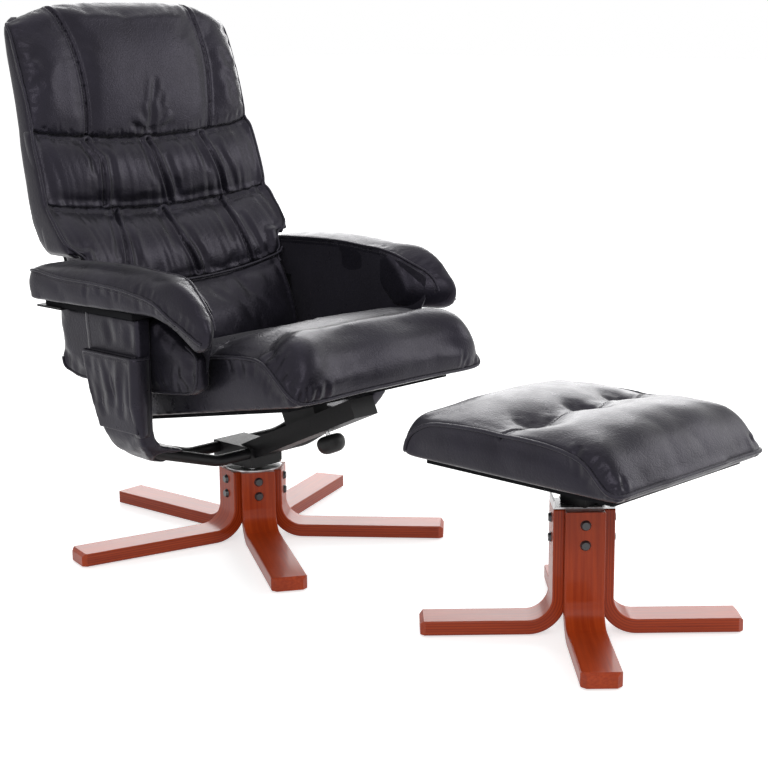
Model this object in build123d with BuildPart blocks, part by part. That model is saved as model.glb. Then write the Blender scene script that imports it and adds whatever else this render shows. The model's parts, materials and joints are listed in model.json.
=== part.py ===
from build123d import *
import os
from math import cos, radians, sin, tan

# Swivel recliner with a separate footstool, in millimetres, Z up.
# The chair faces -Y and the sitter's left hand is at +X.
# The origin is on the floor, under the middle of the pair.

os.makedirs("parts", exist_ok=True)

# Driving sizes of the pair
chair_y = 304            # the chair's swivel axis, behind the middle of the pair
stool_ahead = 813        # from the chair's axis forward to the footstool's axis
stool_aside = 5          # the footstool stands this far to the sitter's left
run_clearance = 0.08     # radial, round shafts that turn
seat_gap = 0.3           # between a piece and what carries it
overrun = 5              # how far a cutting shape runs past the piece
steel_wall = 3

# Bent plywood legs
leg_width = 66
leg_thick = 24.5
leg_bend = 40            # inside radius of the bend
leg_edge = 2.5           # rounding of the long edges
leg_tip_cut = 9          # bevels at the tip, at its corners and along its top
leg_tip_top_cut = 6
leg_gap = 0.6            # between the mitred backs of neighbouring legs
chair_leg_count = 5
chair_leg_turn = -122    # direction of the first chair leg, in degrees
chair_leg_reach = 377    # from the axis to a leg's tip
chair_leg_face = 60      # from the axis to the upright's outer face
chair_leg_top = 139
stool_leg_count = 4
stool_leg_turn = -135
stool_leg_reach = 269
stool_leg_face = 51
stool_leg_top = 218

# Floor glides and leg bolts
glide_thick = 3
glide_radius = 14
glide_from_tip = 40
bolt_radius = 4
bolt_fit = 0.15
cap_radius = 9
cap_height = 5
cap_taper = 28
chair_bolt_drop = (19, 48)   # below the leg's top
stool_bolt_drop = (22, 56)

# Hubs and their bearings
hub_wall = 4
hub_web = 5
chair_hub_foot = 45
chair_shaft_radius = 15
chair_sleeve_wall = 4
cap_plate = 3
cap_plate_radius = 56
chair_washer = 3.7
stool_hub_foot = 50
stool_shaft_radius = 12
stool_sleeve_wall = 3
stool_cap_half = 30
stool_cap_height = 14

# Swivel plate and the welded frame of the mechanism
plate_half = 40
plate_thick = 4
plate_bolt_inset = 9
plate_bolt_radius = 3
plate_nut_radius = 5.5
plate_nut_height = 4
box_half = 40
box_front = 40           # ahead of the axis
box_rear = 72            # behind the axis
box_height = 37
rail_turn = 24           # slope of the channel, in degrees
rail_half = 30
rail_height = 36
rail_length = 304
rail_foot = 166          # height of the channel's rear lower edge
rail_stop = 22           # the channel's hollow starts here

# Slider, lock and seat pan
slider_start = 82        # along the channel, at rest
slider_length = 128
slider_height = 28
web_half = 18
web_start_share = 0.15   # the web's ends, along the slider
web_end_share = 0.85
knob_along = 190
knob_radius = 27
knob_height = 34
knob_drop = 8
screw_radius = 5
screw_fit = 0.3
seat_rear = 94           # behind the axis
seat_rear_height = 262   # underside of the cushion at its rear
seat_turn = 10.8         # slope of the seat, in degrees
seat_depth = 490
seat_height = 104
seat_half = 246
pan_thick = 9
pan_half = 205
pan_front = 430
pan_arm_root = 27        # the pan's rear arms leave it this far along and this high
hinge_y = 160            # hinge between the seat and the back
hinge_z = 318
hinge_rod_radius = 6
hinge_rod_half = 188
hinge_arm_x = 176
hinge_arm_radius = 12
bracket_thick = 4

# Arm frames: two bent tubes on each side
tube_radius = 11
tube_wall = 2
tube_x = 306
tube_top = 479.4
tube_knee = 232          # height of the corner before it is bent
tube_low = 174.5         # height of the tubes at the box
tube_low_x = 115
tube_bend = 55
tube_low_bend = 100
front_tube_y = -41
rear_tube_y = 44
rear_tube_top_y = 80     # the rear tube leans back towards its top
front_tube_low_y = -28
rear_tube_low_y = 60
tie_height = 30
tie_top = 470
tie_thick = 14

# Leather sleeves and pockets
sleeve_thick = 32
sleeve_wrap = 20         # leather beyond the tubes
sleeve_top = 479.6
sleeve_tail = 40         # past the bend, towards the middle
pocket_hem = 412
pocket_foot = 268
pocket_inset = 3         # from the sleeve's outline to the pocket's
pocket_open = 15
pocket_shut = 5
pocket_skin = 2.5        # leather with its hem, on the pocket's outside
pocket_lining = 1.25     # against the sleeve

# Arms
arm_board_thick = 11.2
arm_board_low = 480
arm_board_inner = 264
arm_board_outer = 330
arm_board_front = -58
arm_board_rear = 205
arm_inner = 250
arm_outer = 346
arm_flare = 4.2          # the outer side runs out towards the rear, in degrees
arm_length = 490
arm_front = -262
arm_under = 492
arm_height = 75
panel_inner = 251
panel_thick = 35
panel_top = 475
panel_foot = 336
panel_front = -182
panel_rear = 229
panel_edge = 10

# Recline brackets, lugs and pins
pivot_y = 185
pivot_z = 478
pin_radius = 5
pin_head = 8
pin_head_thick = 3
lug_x = 240              # inner face of the pivot lugs
lug_thick = 4
lug_radius = 14
lug_reach_x = 205        # where the lugs' flanges end behind the board
lug_below = 26           # flanges of the lugs, below and above the pin
lug_above = 30
recline_x = 246.3
recline_thick = 3.4
recline_rear = 40        # bracket behind the pivot
recline_ahead = 35
recline_drop = 26
recline_radius = 17
flange_out = 336
slot_width = 13.6        # the pin wanders in the slot as the seat slides
slot_height = 18.8
slot_rise = 2.6          # the slot's middle, from the pin at rest
slot_back = 1.2
hinge_lug_x = 150
hinge_lug_half = 4
hinge_lug_radius = 11
hinge_lug_head = 430

# Back: its line is where the pads meet the board
back_foot = 290
back_rise = 700
back_line_y = 158
back_depth = 225
back_line_share = ((0, 0), (0.10, 0.117), (0.59, 0.479), (1.0, 1.0))
pad_depth = 100          # pads are measured forward of the back line as shares of this
board_thick = 10
board_foot = 352
board_head = 985
shell_foot = 296
shell_edge = 9
shell_crown = 36
shell_half = 262
lumbar_half = 235
lower_half = 285
upper_half = 282
head_half = 272
seam_gap = 3
arm_notch_half = 246     # below this height the back is no wider than this
arm_notch_top = 570

# Footstool top
block_half = 26
block_low = 221.3
block_high = 283
stool_plate_half = 75
stool_plate_thick = 4
stool_board_thick = 9.7
stool_board_half_x = 172
stool_board_half_y = 190
screw_head_radius = 5
screw_head_thick = 2.5
screw_inset = 14
stool_under = 297
stool_half = 199
stool_length = 440
stool_crown = 120
stool_rear = 222         # the cushion's rear end, behind the footstool's axis


def level(height, ahead=0, aside=0):
    # a level plane whose own origin is on a swivel axis
    return Plane((aside, chair_y - ahead, height))


def side_plane(x):
    # seen from the side: its x runs backward from the chair's axis and its y is up
    return Plane(origin=(x, chair_y, 0), x_dir=(0, 1, 0), z_dir=(1, 0, 0))


def radial_plane(angle, ahead, aside):
    a = radians(angle)
    return Plane(origin=(aside, chair_y - ahead, 0),
                 x_dir=(cos(a), sin(a), 0), z_dir=(sin(a), -cos(a), 0))


def face_plane(angle, reach, ahead, aside):
    # on the outer face of an upright: its x runs along the face and its z points outward
    a = radians(angle)
    return Plane(origin=(aside + reach * cos(a), chair_y - ahead + reach * sin(a), 0),
                 x_dir=(-sin(a), cos(a), 0), z_dir=(cos(a), sin(a), 0))


def draw(start, *steps):
    # a step of one point is a line, and a step of two is an arc's middle and end
    here = start
    for step in steps:
        if isinstance(step[0], tuple):
            ThreePointArc(here, step[0], step[1])
            here = step[1]
        else:
            Line(here, step)
            here = step


def leg_angles(turn, count):
    return [turn + 360 / count * i for i in range(count)]


def in_size(share, depth, height, start=0, base=0):
    # a point given as shares of a depth and a height
    return (start + share[0] * depth, base + share[1] * height)


def save(piece, label):
    piece.label = label
    export_step(piece, f"parts/{label}.step")


def make_leg(label, angle, count, reach, face, top, drops, ahead, aside):
    back = face - leg_thick
    bend_x = face + leg_bend
    bend_z = glide_thick + leg_thick + leg_bend
    share = radians(180 / count)
    apex = leg_gap / 2 / sin(share)
    tangent = (-sin(radians(angle)), cos(radians(angle)), 0)
    with BuildPart() as leg:
        with BuildSketch(radial_plane(angle, ahead, aside)):
            with BuildLine():
                Line((back, top), (face, top))
                Line((face, top), (face, bend_z))
                CenterArc((bend_x, bend_z), leg_bend, 180, 90)
                Line((bend_x, glide_thick + leg_thick), (reach, glide_thick + leg_thick))
                Line((reach, glide_thick + leg_thick), (reach, glide_thick))
                Line((reach, glide_thick), (bend_x, glide_thick))
                CenterArc((bend_x, bend_z), leg_bend + leg_thick, 270, -90)
                Line((back, bend_z), (back, top))
            make_face()
        extrude(amount=leg_width / 2, both=True)
        outward = Axis((0, 0, 0), (cos(radians(angle)), sin(radians(angle)), 0))
        tip = leg.faces().filter_by(Axis.Z, reverse=True).sort_by(outward)[-1]
        chamfer(tip.edges().filter_by(Axis.Z), leg_tip_cut)
        tip = leg.faces().filter_by(outward).sort_by(outward)[-1]
        chamfer(tip.edges().sort_by(Axis.Z)[-1], leg_tip_top_cut)
        sides = leg.faces().filter_by(Axis((0, 0, 0), tangent))
        fillet(sides.edges(), leg_edge)
        with BuildSketch(Plane(origin=(aside, chair_y - ahead, 0),
                               x_dir=outward.direction, z_dir=(0, 0, 1))):
            far = reach + overrun
            wide = (far - apex) * tan(share)
            with BuildLine():
                Polyline((apex, 0), (far, wide), (far, -wide), (apex, 0))
            make_face()
        extrude(amount=top + overrun, mode=Mode.INTERSECT)
        with BuildSketch(face_plane(angle, face + overrun, ahead, aside)):
            with Locations(*[(0, top - drop) for drop in drops]):
                Circle(bolt_radius + bolt_fit)
        extrude(amount=-(leg_thick + 2 * overrun), mode=Mode.SUBTRACT)
    save(leg.part, label)


def make_bolts(label, angles, face, top, drops, ahead, aside):
    with BuildPart() as bolts:
        for angle in angles:
            with BuildSketch(face_plane(angle, face, ahead, aside)):
                with Locations(*[(0, top - drop) for drop in drops]):
                    Circle(cap_radius)
            extrude(amount=cap_height, taper=cap_taper)
            with BuildSketch(face_plane(angle, face, ahead, aside)):
                with Locations(*[(0, top - drop) for drop in drops]):
                    Circle(bolt_radius)
            extrude(amount=-(leg_thick + hub_wall))
    save(bolts.part, label)


def make_glides(label, angles, reach, ahead, aside):
    with BuildPart() as glides:
        for angle in angles:
            a = radians(angle)
            out = reach - glide_from_tip
            with BuildSketch(level(0, ahead, aside)):
                with Locations((out * cos(a), out * sin(a))):
                    Circle(glide_radius)
            extrude(amount=glide_thick)
    save(glides.part, label)


def make_hub(label, turn, count, face, foot, top, drops, bore, ahead, aside):
    flat = face - leg_thick
    with BuildPart() as hub:
        with BuildSketch(level(foot, ahead, aside)):
            RegularPolygon(flat, count, major_radius=False, rotation=turn + 180 / count)
            RegularPolygon(flat - hub_wall, count, major_radius=False,
                           rotation=turn + 180 / count, mode=Mode.SUBTRACT)
        extrude(amount=top - foot)
        for height in (foot, top - hub_web):
            with BuildSketch(level(height, ahead, aside)):
                RegularPolygon(flat - hub_wall, count, major_radius=False,
                               rotation=turn + 180 / count)
                Circle(bore, mode=Mode.SUBTRACT)
            extrude(amount=hub_web)
        for angle in leg_angles(turn, count):
            with BuildSketch(face_plane(angle, flat + overrun, ahead, aside)):
                with Locations(*[(0, top - drop) for drop in drops]):
                    Circle(bolt_radius + bolt_fit)
            extrude(amount=-(hub_wall + 2 * overrun), mode=Mode.SUBTRACT)
    save(hub.part, label)


def make_ring(label, low, high, outer, inner, ahead, aside):
    with BuildPart() as ring:
        with BuildSketch(level(low, ahead, aside)):
            Circle(outer)
            Circle(inner, mode=Mode.SUBTRACT)
        extrude(amount=high - low)
    save(ring.part, label)


# Chair base
chair_angles = leg_angles(chair_leg_turn, chair_leg_count)
for number, angle in enumerate(chair_angles, 1):
    make_leg(f"chair_leg_{number}", angle, chair_leg_count, chair_leg_reach,
             chair_leg_face, chair_leg_top, chair_bolt_drop, 0, 0)
make_bolts("chair_leg_bolts", chair_angles, chair_leg_face, chair_leg_top,
           chair_bolt_drop, 0, 0)
make_glides("chair_glides", chair_angles, chair_leg_reach, 0, 0)
chair_sleeve_bore = chair_shaft_radius + run_clearance
chair_sleeve_radius = chair_sleeve_bore + chair_sleeve_wall
make_hub("chair_hub", chair_leg_turn, chair_leg_count, chair_leg_face, chair_hub_foot,
         chair_leg_top, chair_bolt_drop, chair_sleeve_radius, 0, 0)
make_ring("chair_bearing_sleeve", chair_hub_foot, chair_leg_top,
          chair_sleeve_radius, chair_sleeve_bore, 0, 0)
cap_top = chair_leg_top + cap_plate
make_ring("chair_hub_cap", chair_leg_top, cap_top, cap_plate_radius, chair_sleeve_bore, 0, 0)
make_ring("chair_thrust_washer", cap_top, cap_top + chair_washer,
          chair_sleeve_radius, chair_sleeve_bore, 0, 0)

# Chair spindle, swivel plate and its bolts
plate_low = cap_top + chair_washer + seat_gap
plate_high = plate_low + plate_thick
with BuildPart() as chair_spindle:
    with BuildSketch(level(chair_hub_foot)):
        Circle(chair_shaft_radius)
    extrude(amount=plate_low - chair_hub_foot)
save(chair_spindle.part, "chair_spindle")

bolt_spread = 2 * (plate_half - plate_bolt_inset)
with BuildPart() as swivel_plate:
    with BuildSketch(level(plate_low)):
        RectangleRounded(2 * plate_half, 2 * plate_half, plate_bolt_inset)
        with GridLocations(bolt_spread, bolt_spread, 2, 2):
            Circle(plate_bolt_radius + bolt_fit, mode=Mode.SUBTRACT)
    extrude(amount=plate_thick)
save(swivel_plate.part, "swivel_plate")

with BuildPart() as plate_bolts:
    with BuildSketch(level(plate_low)):
        with GridLocations(bolt_spread, bolt_spread, 2, 2):
            RegularPolygon(plate_nut_radius, 6)
    extrude(amount=-plate_nut_height / 2)
    with BuildSketch(level(plate_low)):
        with GridLocations(bolt_spread, bolt_spread, 2, 2):
            Circle(plate_bolt_radius)
    extrude(amount=plate_thick + steel_wall)
save(plate_bolts.part, "swivel_plate_bolts")

# Welded frame: centre box and the sloping channel that the seat slides in
rail_plane = Plane(origin=(0, chair_y - box_front, rail_foot),
                   x_dir=(0, -cos(radians(rail_turn)), sin(radians(rail_turn))),
                   z_dir=(-1, 0, 0))
box_top = plate_high + box_height
rail_back = (rail_foot + rail_height * cos(radians(rail_turn)) - box_top) / sin(radians(rail_turn))
box_mid = (box_rear - box_front) / 2
with BuildPart() as mechanism_frame:
    with BuildSketch(level(plate_high)):
        with Locations((0, box_mid)):
            Rectangle(2 * box_half, box_front + box_rear)
    extrude(amount=box_height)
    with BuildSketch(rail_plane):
        Polygon((0, 0), (rail_length, 0), (rail_length, rail_height),
                (-rail_back, rail_height), align=None)
    extrude(amount=rail_half, both=True)
    with BuildSketch(level(plate_high + steel_wall)):
        with Locations((0, box_mid)):
            Rectangle(2 * (box_half - steel_wall), box_front + box_rear - 2 * steel_wall)
    extrude(amount=box_height - 2 * steel_wall, mode=Mode.SUBTRACT)
    with BuildSketch(rail_plane):
        Polygon((rail_stop, steel_wall), (rail_length - steel_wall, steel_wall),
                (rail_length - steel_wall, rail_height + overrun),
                (rail_stop, rail_height + overrun), align=None)
    extrude(amount=rail_half - steel_wall, both=True, mode=Mode.SUBTRACT)
    knob_seat = rail_plane.from_local_coords((knob_along, 0, 0))
    knob_plane = Plane(origin=knob_seat, x_dir=(1, 0, 0), z_dir=-rail_plane.y_dir)
    with BuildSketch(knob_plane):
        Circle(screw_radius + screw_fit)
    extrude(amount=-2 * steel_wall, mode=Mode.SUBTRACT)
    with BuildSketch(level(plate_low - overrun)):
        with GridLocations(bolt_spread, bolt_spread, 2, 2):
            Circle(plate_bolt_radius + bolt_fit)
    extrude(amount=plate_thick + 2 * overrun, mode=Mode.SUBTRACT)
save(mechanism_frame.part, "mechanism_frame")

# Lock screw and knob, square to the channel
with BuildPart() as lock_screw:
    with BuildSketch(knob_plane):
        Circle(screw_radius)
    extrude(amount=-steel_wall)
    with BuildSketch(knob_plane):
        Circle(screw_radius)
    extrude(amount=knob_drop + knob_height / 2)
save(lock_screw.part, "lock_screw")

# the knob's outline from its top face, as shares of its radius and height
knob_neck_share = (0.5, 0)
knob_shoulder_share = (0.9, -0.15)
knob_waist_share = (1.0, -0.45)
knob_lower_share = (0.8, -0.85)
knob_foot_share = (0.3, -1.0)
with BuildPart() as lock_knob:
    with BuildSketch(Plane(origin=knob_seat, x_dir=rail_plane.x_dir, z_dir=rail_plane.z_dir)):
        with BuildLine():
            neck, shoulder, waist, lower, foot = [
                in_size(s, knob_radius, knob_height, 0, -knob_drop)
                for s in (knob_neck_share, knob_shoulder_share, knob_waist_share,
                          knob_lower_share, knob_foot_share)]
            draw((0, -knob_drop), neck, (shoulder, waist), (lower, foot), (0, foot[1]),
                 (0, -knob_drop))
        make_face()
    revolve(axis=Axis(knob_seat, rail_plane.y_dir))
    with BuildSketch(knob_plane):
        Circle(screw_radius)
    extrude(amount=knob_drop + knob_height / 2, mode=Mode.SUBTRACT)
save(lock_knob.part, "lock_knob")

# Slider bar in the channel, with the web that carries the seat pan
seat_plane = Plane(origin=(0, chair_y + seat_rear, seat_rear_height),
                   x_dir=(0, -cos(radians(seat_turn)), sin(radians(seat_turn))),
                   z_dir=(-1, 0, 0))
pan_low = -pan_thick - seat_gap


def pan_point(along):
    # where the underside of the seat pan is, in the channel's own plane
    spot = seat_plane.from_local_coords((along, pan_low, 0))
    local = rail_plane.to_local_coords(spot)
    return (local.X, local.Y)


slider_low = steel_wall + seat_gap
slider_high = slider_low + slider_height
web_near = slider_start + slider_length * web_start_share
web_far = slider_start + slider_length * web_end_share
pan_rear_point = pan_point(0)
pan_front_point = pan_point(pan_front)
pan_fall = ((pan_front_point[1] - pan_rear_point[1])
            / (pan_front_point[0] - pan_rear_point[0]))


def pan_height(along_rail):
    return pan_rear_point[1] + (along_rail - pan_rear_point[0]) * pan_fall


with BuildPart() as seat_slider:
    with BuildSketch(rail_plane):
        Polygon((slider_start, slider_low), (slider_start + slider_length, slider_low),
                (slider_start + slider_length, slider_high), (slider_start, slider_high),
                align=None)
    extrude(amount=rail_half - steel_wall - seat_gap, both=True)
    with BuildSketch(rail_plane):
        Polygon((web_near, slider_low), (web_far, slider_low),
                (web_far, pan_height(web_far)), (web_near, pan_height(web_near)), align=None)
    extrude(amount=web_half, both=True)
save(seat_slider.part, "seat_slider")

# Seat pan with two arms down to the hinge rod
hinge_spot = seat_plane.to_local_coords(Vector(0, chair_y + hinge_y, hinge_z))
hinge_local = (hinge_spot.X, hinge_spot.Y)
with BuildPart() as seat_pan:
    with BuildSketch(seat_plane):
        Polygon((0, pan_low), (pan_front, pan_low), (pan_front, pan_low + pan_thick),
                (0, pan_low + pan_thick), align=None)
    extrude(amount=pan_half, both=True)
    for side in (1, -1):
        arm_plane = Plane(origin=seat_plane.origin + Vector(side * hinge_arm_x, 0, 0),
                          x_dir=seat_plane.x_dir, z_dir=(-1, 0, 0))
        with BuildSketch(arm_plane):
            with Locations(hinge_local):
                Circle(hinge_arm_radius)
            Polygon((0, pan_low + pan_thick), (pan_arm_root, pan_low),
                    (0, pan_low), (hinge_local[0] - hinge_arm_radius, hinge_local[1]),
                    (hinge_local[0], hinge_local[1] + hinge_arm_radius),
                    (-pan_thick, pan_low + pan_arm_root), align=None)
            with Locations(hinge_local):
                Circle(hinge_rod_radius, mode=Mode.SUBTRACT)
        extrude(amount=bracket_thick, both=True)
save(seat_pan.part, "seat_pan")

with BuildPart() as seat_hinge_rod:
    with BuildSketch(Plane(origin=(-hinge_rod_half, chair_y + hinge_y, hinge_z),
                           x_dir=(0, 1, 0), z_dir=(1, 0, 0))):
        Circle(hinge_rod_radius)
    extrude(amount=2 * hinge_rod_half)
save(seat_hinge_rod.part, "seat_hinge_rod")

# Seat cushion: sections across the seat, each from its rear lower corner round the nose.
# A section gives the nose, the top of the roll, the front pad, the seam, the rear pad
# and the rear top corner, as shares of the seat's depth and height.
seat_sections_share = (
    (-1.0, (0.93, 0.36), (0.828, 0.86), (0.675, 0.985), (0.51, 0.955), (0.26, 1.0), (0.02, 0.95)),
    (-0.94, (1.027, 0.37), (0.841, 1.08), (0.684, 1.21), (0.515, 1.03), (0.265, 1.11), (0.03, 1.0)),
    (-0.45, (1.043, 0.42), (0.845, 1.16), (0.684, 1.31), (0.52, 1.10), (0.265, 1.19), (0.035, 1.02)),
    (0.0, (1.045, 0.43), (0.847, 1.18), (0.684, 1.33), (0.52, 1.12), (0.265, 1.21), (0.035, 1.02)),
    (0.45, (1.043, 0.42), (0.845, 1.16), (0.684, 1.31), (0.52, 1.10), (0.265, 1.19), (0.035, 1.02)),
    (0.94, (1.027, 0.37), (0.841, 1.08), (0.684, 1.21), (0.515, 1.03), (0.265, 1.11), (0.03, 1.0)),
    (1.0, (0.93, 0.36), (0.828, 0.86), (0.675, 0.985), (0.51, 0.955), (0.26, 1.0), (0.02, 0.95)),
)


with BuildPart() as seat_cushion:
    for across, *shares in seat_sections_share:
        nose, roll, front_pad, seam, rear_pad, rear_top = [
            in_size(s, seat_depth, seat_height) for s in shares]
        shifted = Plane(origin=seat_plane.origin + Vector(across * seat_half, 0, 0),
                        x_dir=seat_plane.x_dir, z_dir=(-1, 0, 0))
        with BuildSketch(shifted):
            with BuildLine():
                draw((0, 0), (seat_depth, 0), (nose, roll), (front_pad, seam),
                     (rear_pad, rear_top), (0, 0))
            make_face()
    loft()
save(seat_cushion.part, "seat_cushion")


# Arm frames, sleeves, pockets, boards, pads and panels, one set on each side
def tube_path(side, top_y, knee_y, low_y, above=0, beyond=0):
    lean = (top_y - knee_y) / (tube_top - tube_knee)
    return ((side * tube_x, chair_y + top_y + above * lean, tube_top + above),
            (side * tube_x, chair_y + knee_y, tube_knee),
            (side * tube_low_x, chair_y + low_y, tube_low),
            (side * (box_half - beyond), chair_y + low_y, tube_low))


tubes = ((front_tube_y, front_tube_y, front_tube_low_y),
         (rear_tube_top_y, rear_tube_y, rear_tube_low_y))
tie_middle = tie_top - tie_height / 2
tie_lean = (rear_tube_top_y - rear_tube_y) / (tube_top - tube_knee)
tie_rear = rear_tube_top_y - (tube_top - tie_middle) * tie_lean
tie_length = tie_rear - front_tube_y
pocket_face = tube_x + sleeve_thick / 2
# the sleeve's outline from the side, as shares of its width and height
sleeve_outline_share = ((0, 1.02), (0, 0.14), (0.05, 0.06), (0.16, -0.02), (0.42, -0.02), (0.57, 0.09),
                        (0.68, 0.16), (0.75, 0.24), (0.81, 0.35), (0.88, 0.49), (0.93, 0.68),
                        (1.0, 1.02))
sleeve_width = rear_tube_top_y - front_tube_y + 2 * sleeve_wrap
sleeve_low = tube_knee - tube_bend / 2
panel_outline_share = ((1.0, 1.0), (0.28, 1.0), (0.0, 0.60), (0.0, 0.20), (0.05, 0.10),
                       (0.36, 0.0), (0.86, 0.0), (1.0, 0.10))
sleeve_points = [in_size(s, sleeve_width, sleeve_top - sleeve_low, front_tube_y - sleeve_wrap, sleeve_low)
                 for s in sleeve_outline_share]
# arm pad sections: place across, flare, how far the front is drawn back, and the outline
arm_inner_share = ((0.98, 0.0), (0.28, 0.0), (0.17, -0.24), (0.07, -0.68), (-0.01, -0.3), (0.02, 0.22),
                   (0.11, 0.72), (0.28, 0.86), (0.59, 0.94), (0.90, 0.88), (0.985, 0.70), (1.0, 0.3))
arm_crown_share = ((0.98, 0.0), (0.28, 0.0), (0.17, -0.24), (0.07, -0.70), (-0.02, -0.3), (0.02, 0.25),
                   (0.10, 0.72), (0.28, 0.90), (0.59, 1.0), (0.90, 0.90), (0.985, 0.74), (1.0, 0.35))
arm_outer_share = ((0.975, 0.02), (0.28, 0.02), (0.17, -0.2), (0.07, -0.52), (0.0, -0.34), (0.03, -0.02),
                   (0.12, 0.32), (0.28, 0.52), (0.59, 0.66), (0.90, 0.70), (0.975, 0.6), (0.985, 0.3))
arm_sections_share = ((0.0, 0.0, 0.18, arm_inner_share), (0.14, 0.2, 0.145, arm_crown_share),
                      (0.5, 0.5, 0.065, arm_crown_share), (0.84, 0.84, 0.022, arm_crown_share),
                      (1.0, 1.0, 0.03, arm_outer_share))

for side, hand in ((1, "left"), (-1, "right")):
    with BuildPart() as arm_frame:
        for top_y, knee_y, low_y in tubes:
            with BuildLine() as route:
                FilletPolyline(*tube_path(side, top_y, knee_y, low_y, overrun),
                               radius=(tube_bend, tube_low_bend))
            with BuildSketch(Plane(origin=route.line @ 0, z_dir=route.line % 0)):
                Circle(tube_radius)
                Circle(tube_radius - tube_wall, mode=Mode.SUBTRACT)
            sweep(path=route.line)
        split(bisect_by=level(tube_top), keep=Keep.BOTTOM)
        with BuildSketch(side_plane(side * tube_x)):
            with Locations(((front_tube_y + tie_rear) / 2, tie_middle)):
                Rectangle(tie_length - 2 * tube_radius + tube_wall, tie_height)
        extrude(amount=tie_thick / 2, both=True)
    save(arm_frame.part, f"arm_frame_{hand}")

    with BuildPart() as sleeve:
        flat_path = [(x, z) for x, _, z in tube_path(side, 0, 0, 0)]
        knee = flat_path[1]
        low = flat_path[2]
        run = ((low[0] - knee[0]) ** 2 + (low[1] - knee[1]) ** 2) ** 0.5
        tail_share = (tube_bend + sleeve_tail) / run
        tail = (knee[0] + (low[0] - knee[0]) * tail_share,
                knee[1] + (low[1] - knee[1]) * tail_share)
        front = Plane(origin=(0, chair_y, 0), x_dir=(1, 0, 0), z_dir=(0, -1, 0))
        with BuildLine(front) as route:
            FilletPolyline((flat_path[0][0], sleeve_top), knee, tail, radius=tube_bend)
        with BuildSketch(Plane(origin=route.line @ 0, x_dir=(1, 0, 0), z_dir=(0, 0, -1))):
            Rectangle(sleeve_thick, 2 * sleeve_width)
        sweep(path=route.line)
        with BuildSketch(side_plane(0)):
            Polygon(*sleeve_points, align=None)
        extrude(amount=side * (tube_x + sleeve_thick), mode=Mode.INTERSECT)
        for top_y, knee_y, low_y in tubes:
            with BuildLine() as bore:
                FilletPolyline(*tube_path(side, top_y, knee_y, low_y, overrun, overrun),
                               radius=(tube_bend, tube_low_bend))
            with BuildSketch(Plane(origin=bore.line @ 0, z_dir=bore.line % 0)):
                Circle(tube_radius + seat_gap)
            sweep(path=bore.line, mode=Mode.SUBTRACT)
        with BuildSketch(side_plane(side * tube_x)):
            with Locations(((front_tube_y + tie_rear) / 2, tie_middle)):
                Rectangle(tie_length, tie_height + 2 * seat_gap)
        extrude(amount=tie_thick / 2 + seat_gap, both=True, mode=Mode.SUBTRACT)
    save(sleeve.part, f"arm_sleeve_{hand}")

    skin_x = side * (pocket_face + seat_gap)
    sleeve_mid = front_tube_y - sleeve_wrap + sleeve_width / 2
    with BuildPart() as pocket:
        for height, depth in ((pocket_foot, pocket_shut), (pocket_hem, pocket_open)):
            with BuildSketch(level(height)):
                with Locations((skin_x + side * depth / 2, sleeve_mid)):
                    Rectangle(depth, sleeve_width)
        loft(ruled=True)
        with BuildSketch(side_plane(0)):
            Polygon(*sleeve_points, align=None)
            offset(amount=-pocket_inset, kind=Kind.INTERSECTION)
        extrude(amount=side * (pocket_face + 2 * pocket_open), mode=Mode.INTERSECT)
        with BuildPart(mode=Mode.SUBTRACT):
            for height, depth in ((pocket_foot + 2 * pocket_skin, pocket_shut),
                                  (pocket_hem + overrun, pocket_open)):
                with BuildSketch(level(height)):
                    with Locations((skin_x + side * (depth - pocket_skin + pocket_lining) / 2, sleeve_mid)):
                        Rectangle(depth - pocket_skin - pocket_lining, sleeve_width)
            loft(ruled=True)
            with BuildSketch(side_plane(0)):
                Polygon(*sleeve_points, align=None)
                offset(amount=-pocket_inset - pocket_skin, kind=Kind.INTERSECTION)
            extrude(amount=side * (pocket_face + 2 * pocket_open), mode=Mode.INTERSECT)
    save(pocket.part, f"arm_pocket_{hand}")

    with BuildPart() as arm_board:
        with BuildSketch(level(arm_board_low)):
            with Locations((side * (arm_board_inner + arm_board_outer) / 2,
                            (arm_board_front + arm_board_rear) / 2)):
                Rectangle(arm_board_outer - arm_board_inner, arm_board_rear - arm_board_front)
        extrude(amount=arm_board_thick)
    save(arm_board.part, f"arm_board_{hand}")

    with BuildPart() as arm_panel:
        with BuildSketch(side_plane(side * panel_inner)):
            points = [in_size(s, panel_rear - panel_front, panel_top - panel_foot,
                              panel_front, panel_foot) for s in panel_outline_share]
            Polygon(*points, align=None)
        extrude(amount=side * panel_thick)
        fillet(arm_panel.faces().filter_by(Axis.X).edges(), panel_edge)
    save(arm_panel.part, f"arm_panel_{hand}")

    with BuildPart() as arm_pad:
        for across, flare, drawn, shares in arm_sections_share:
            lean = radians(arm_flare * flare)
            long = arm_length * (1 - drawn)
            start = arm_front + arm_length * drawn
            spot = side * (arm_inner + (arm_outer - arm_inner) * across)
            with BuildSketch(Plane(origin=(spot, chair_y, 0),
                                   x_dir=(side * sin(lean), cos(lean), 0),
                                   z_dir=(cos(lean), -side * sin(lean), 0))):
                with BuildLine():
                    p = [in_size(s, long, arm_height, start, arm_under) for s in shares]
                    draw(p[0], p[1], (p[2], p[3]), (p[4], p[5]), (p[6], p[7]), (p[8], p[9]),
                         (p[10], p[11]), p[0])
                make_face()
        loft()
    save(arm_pad.part, f"arm_pad_{hand}")

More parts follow.
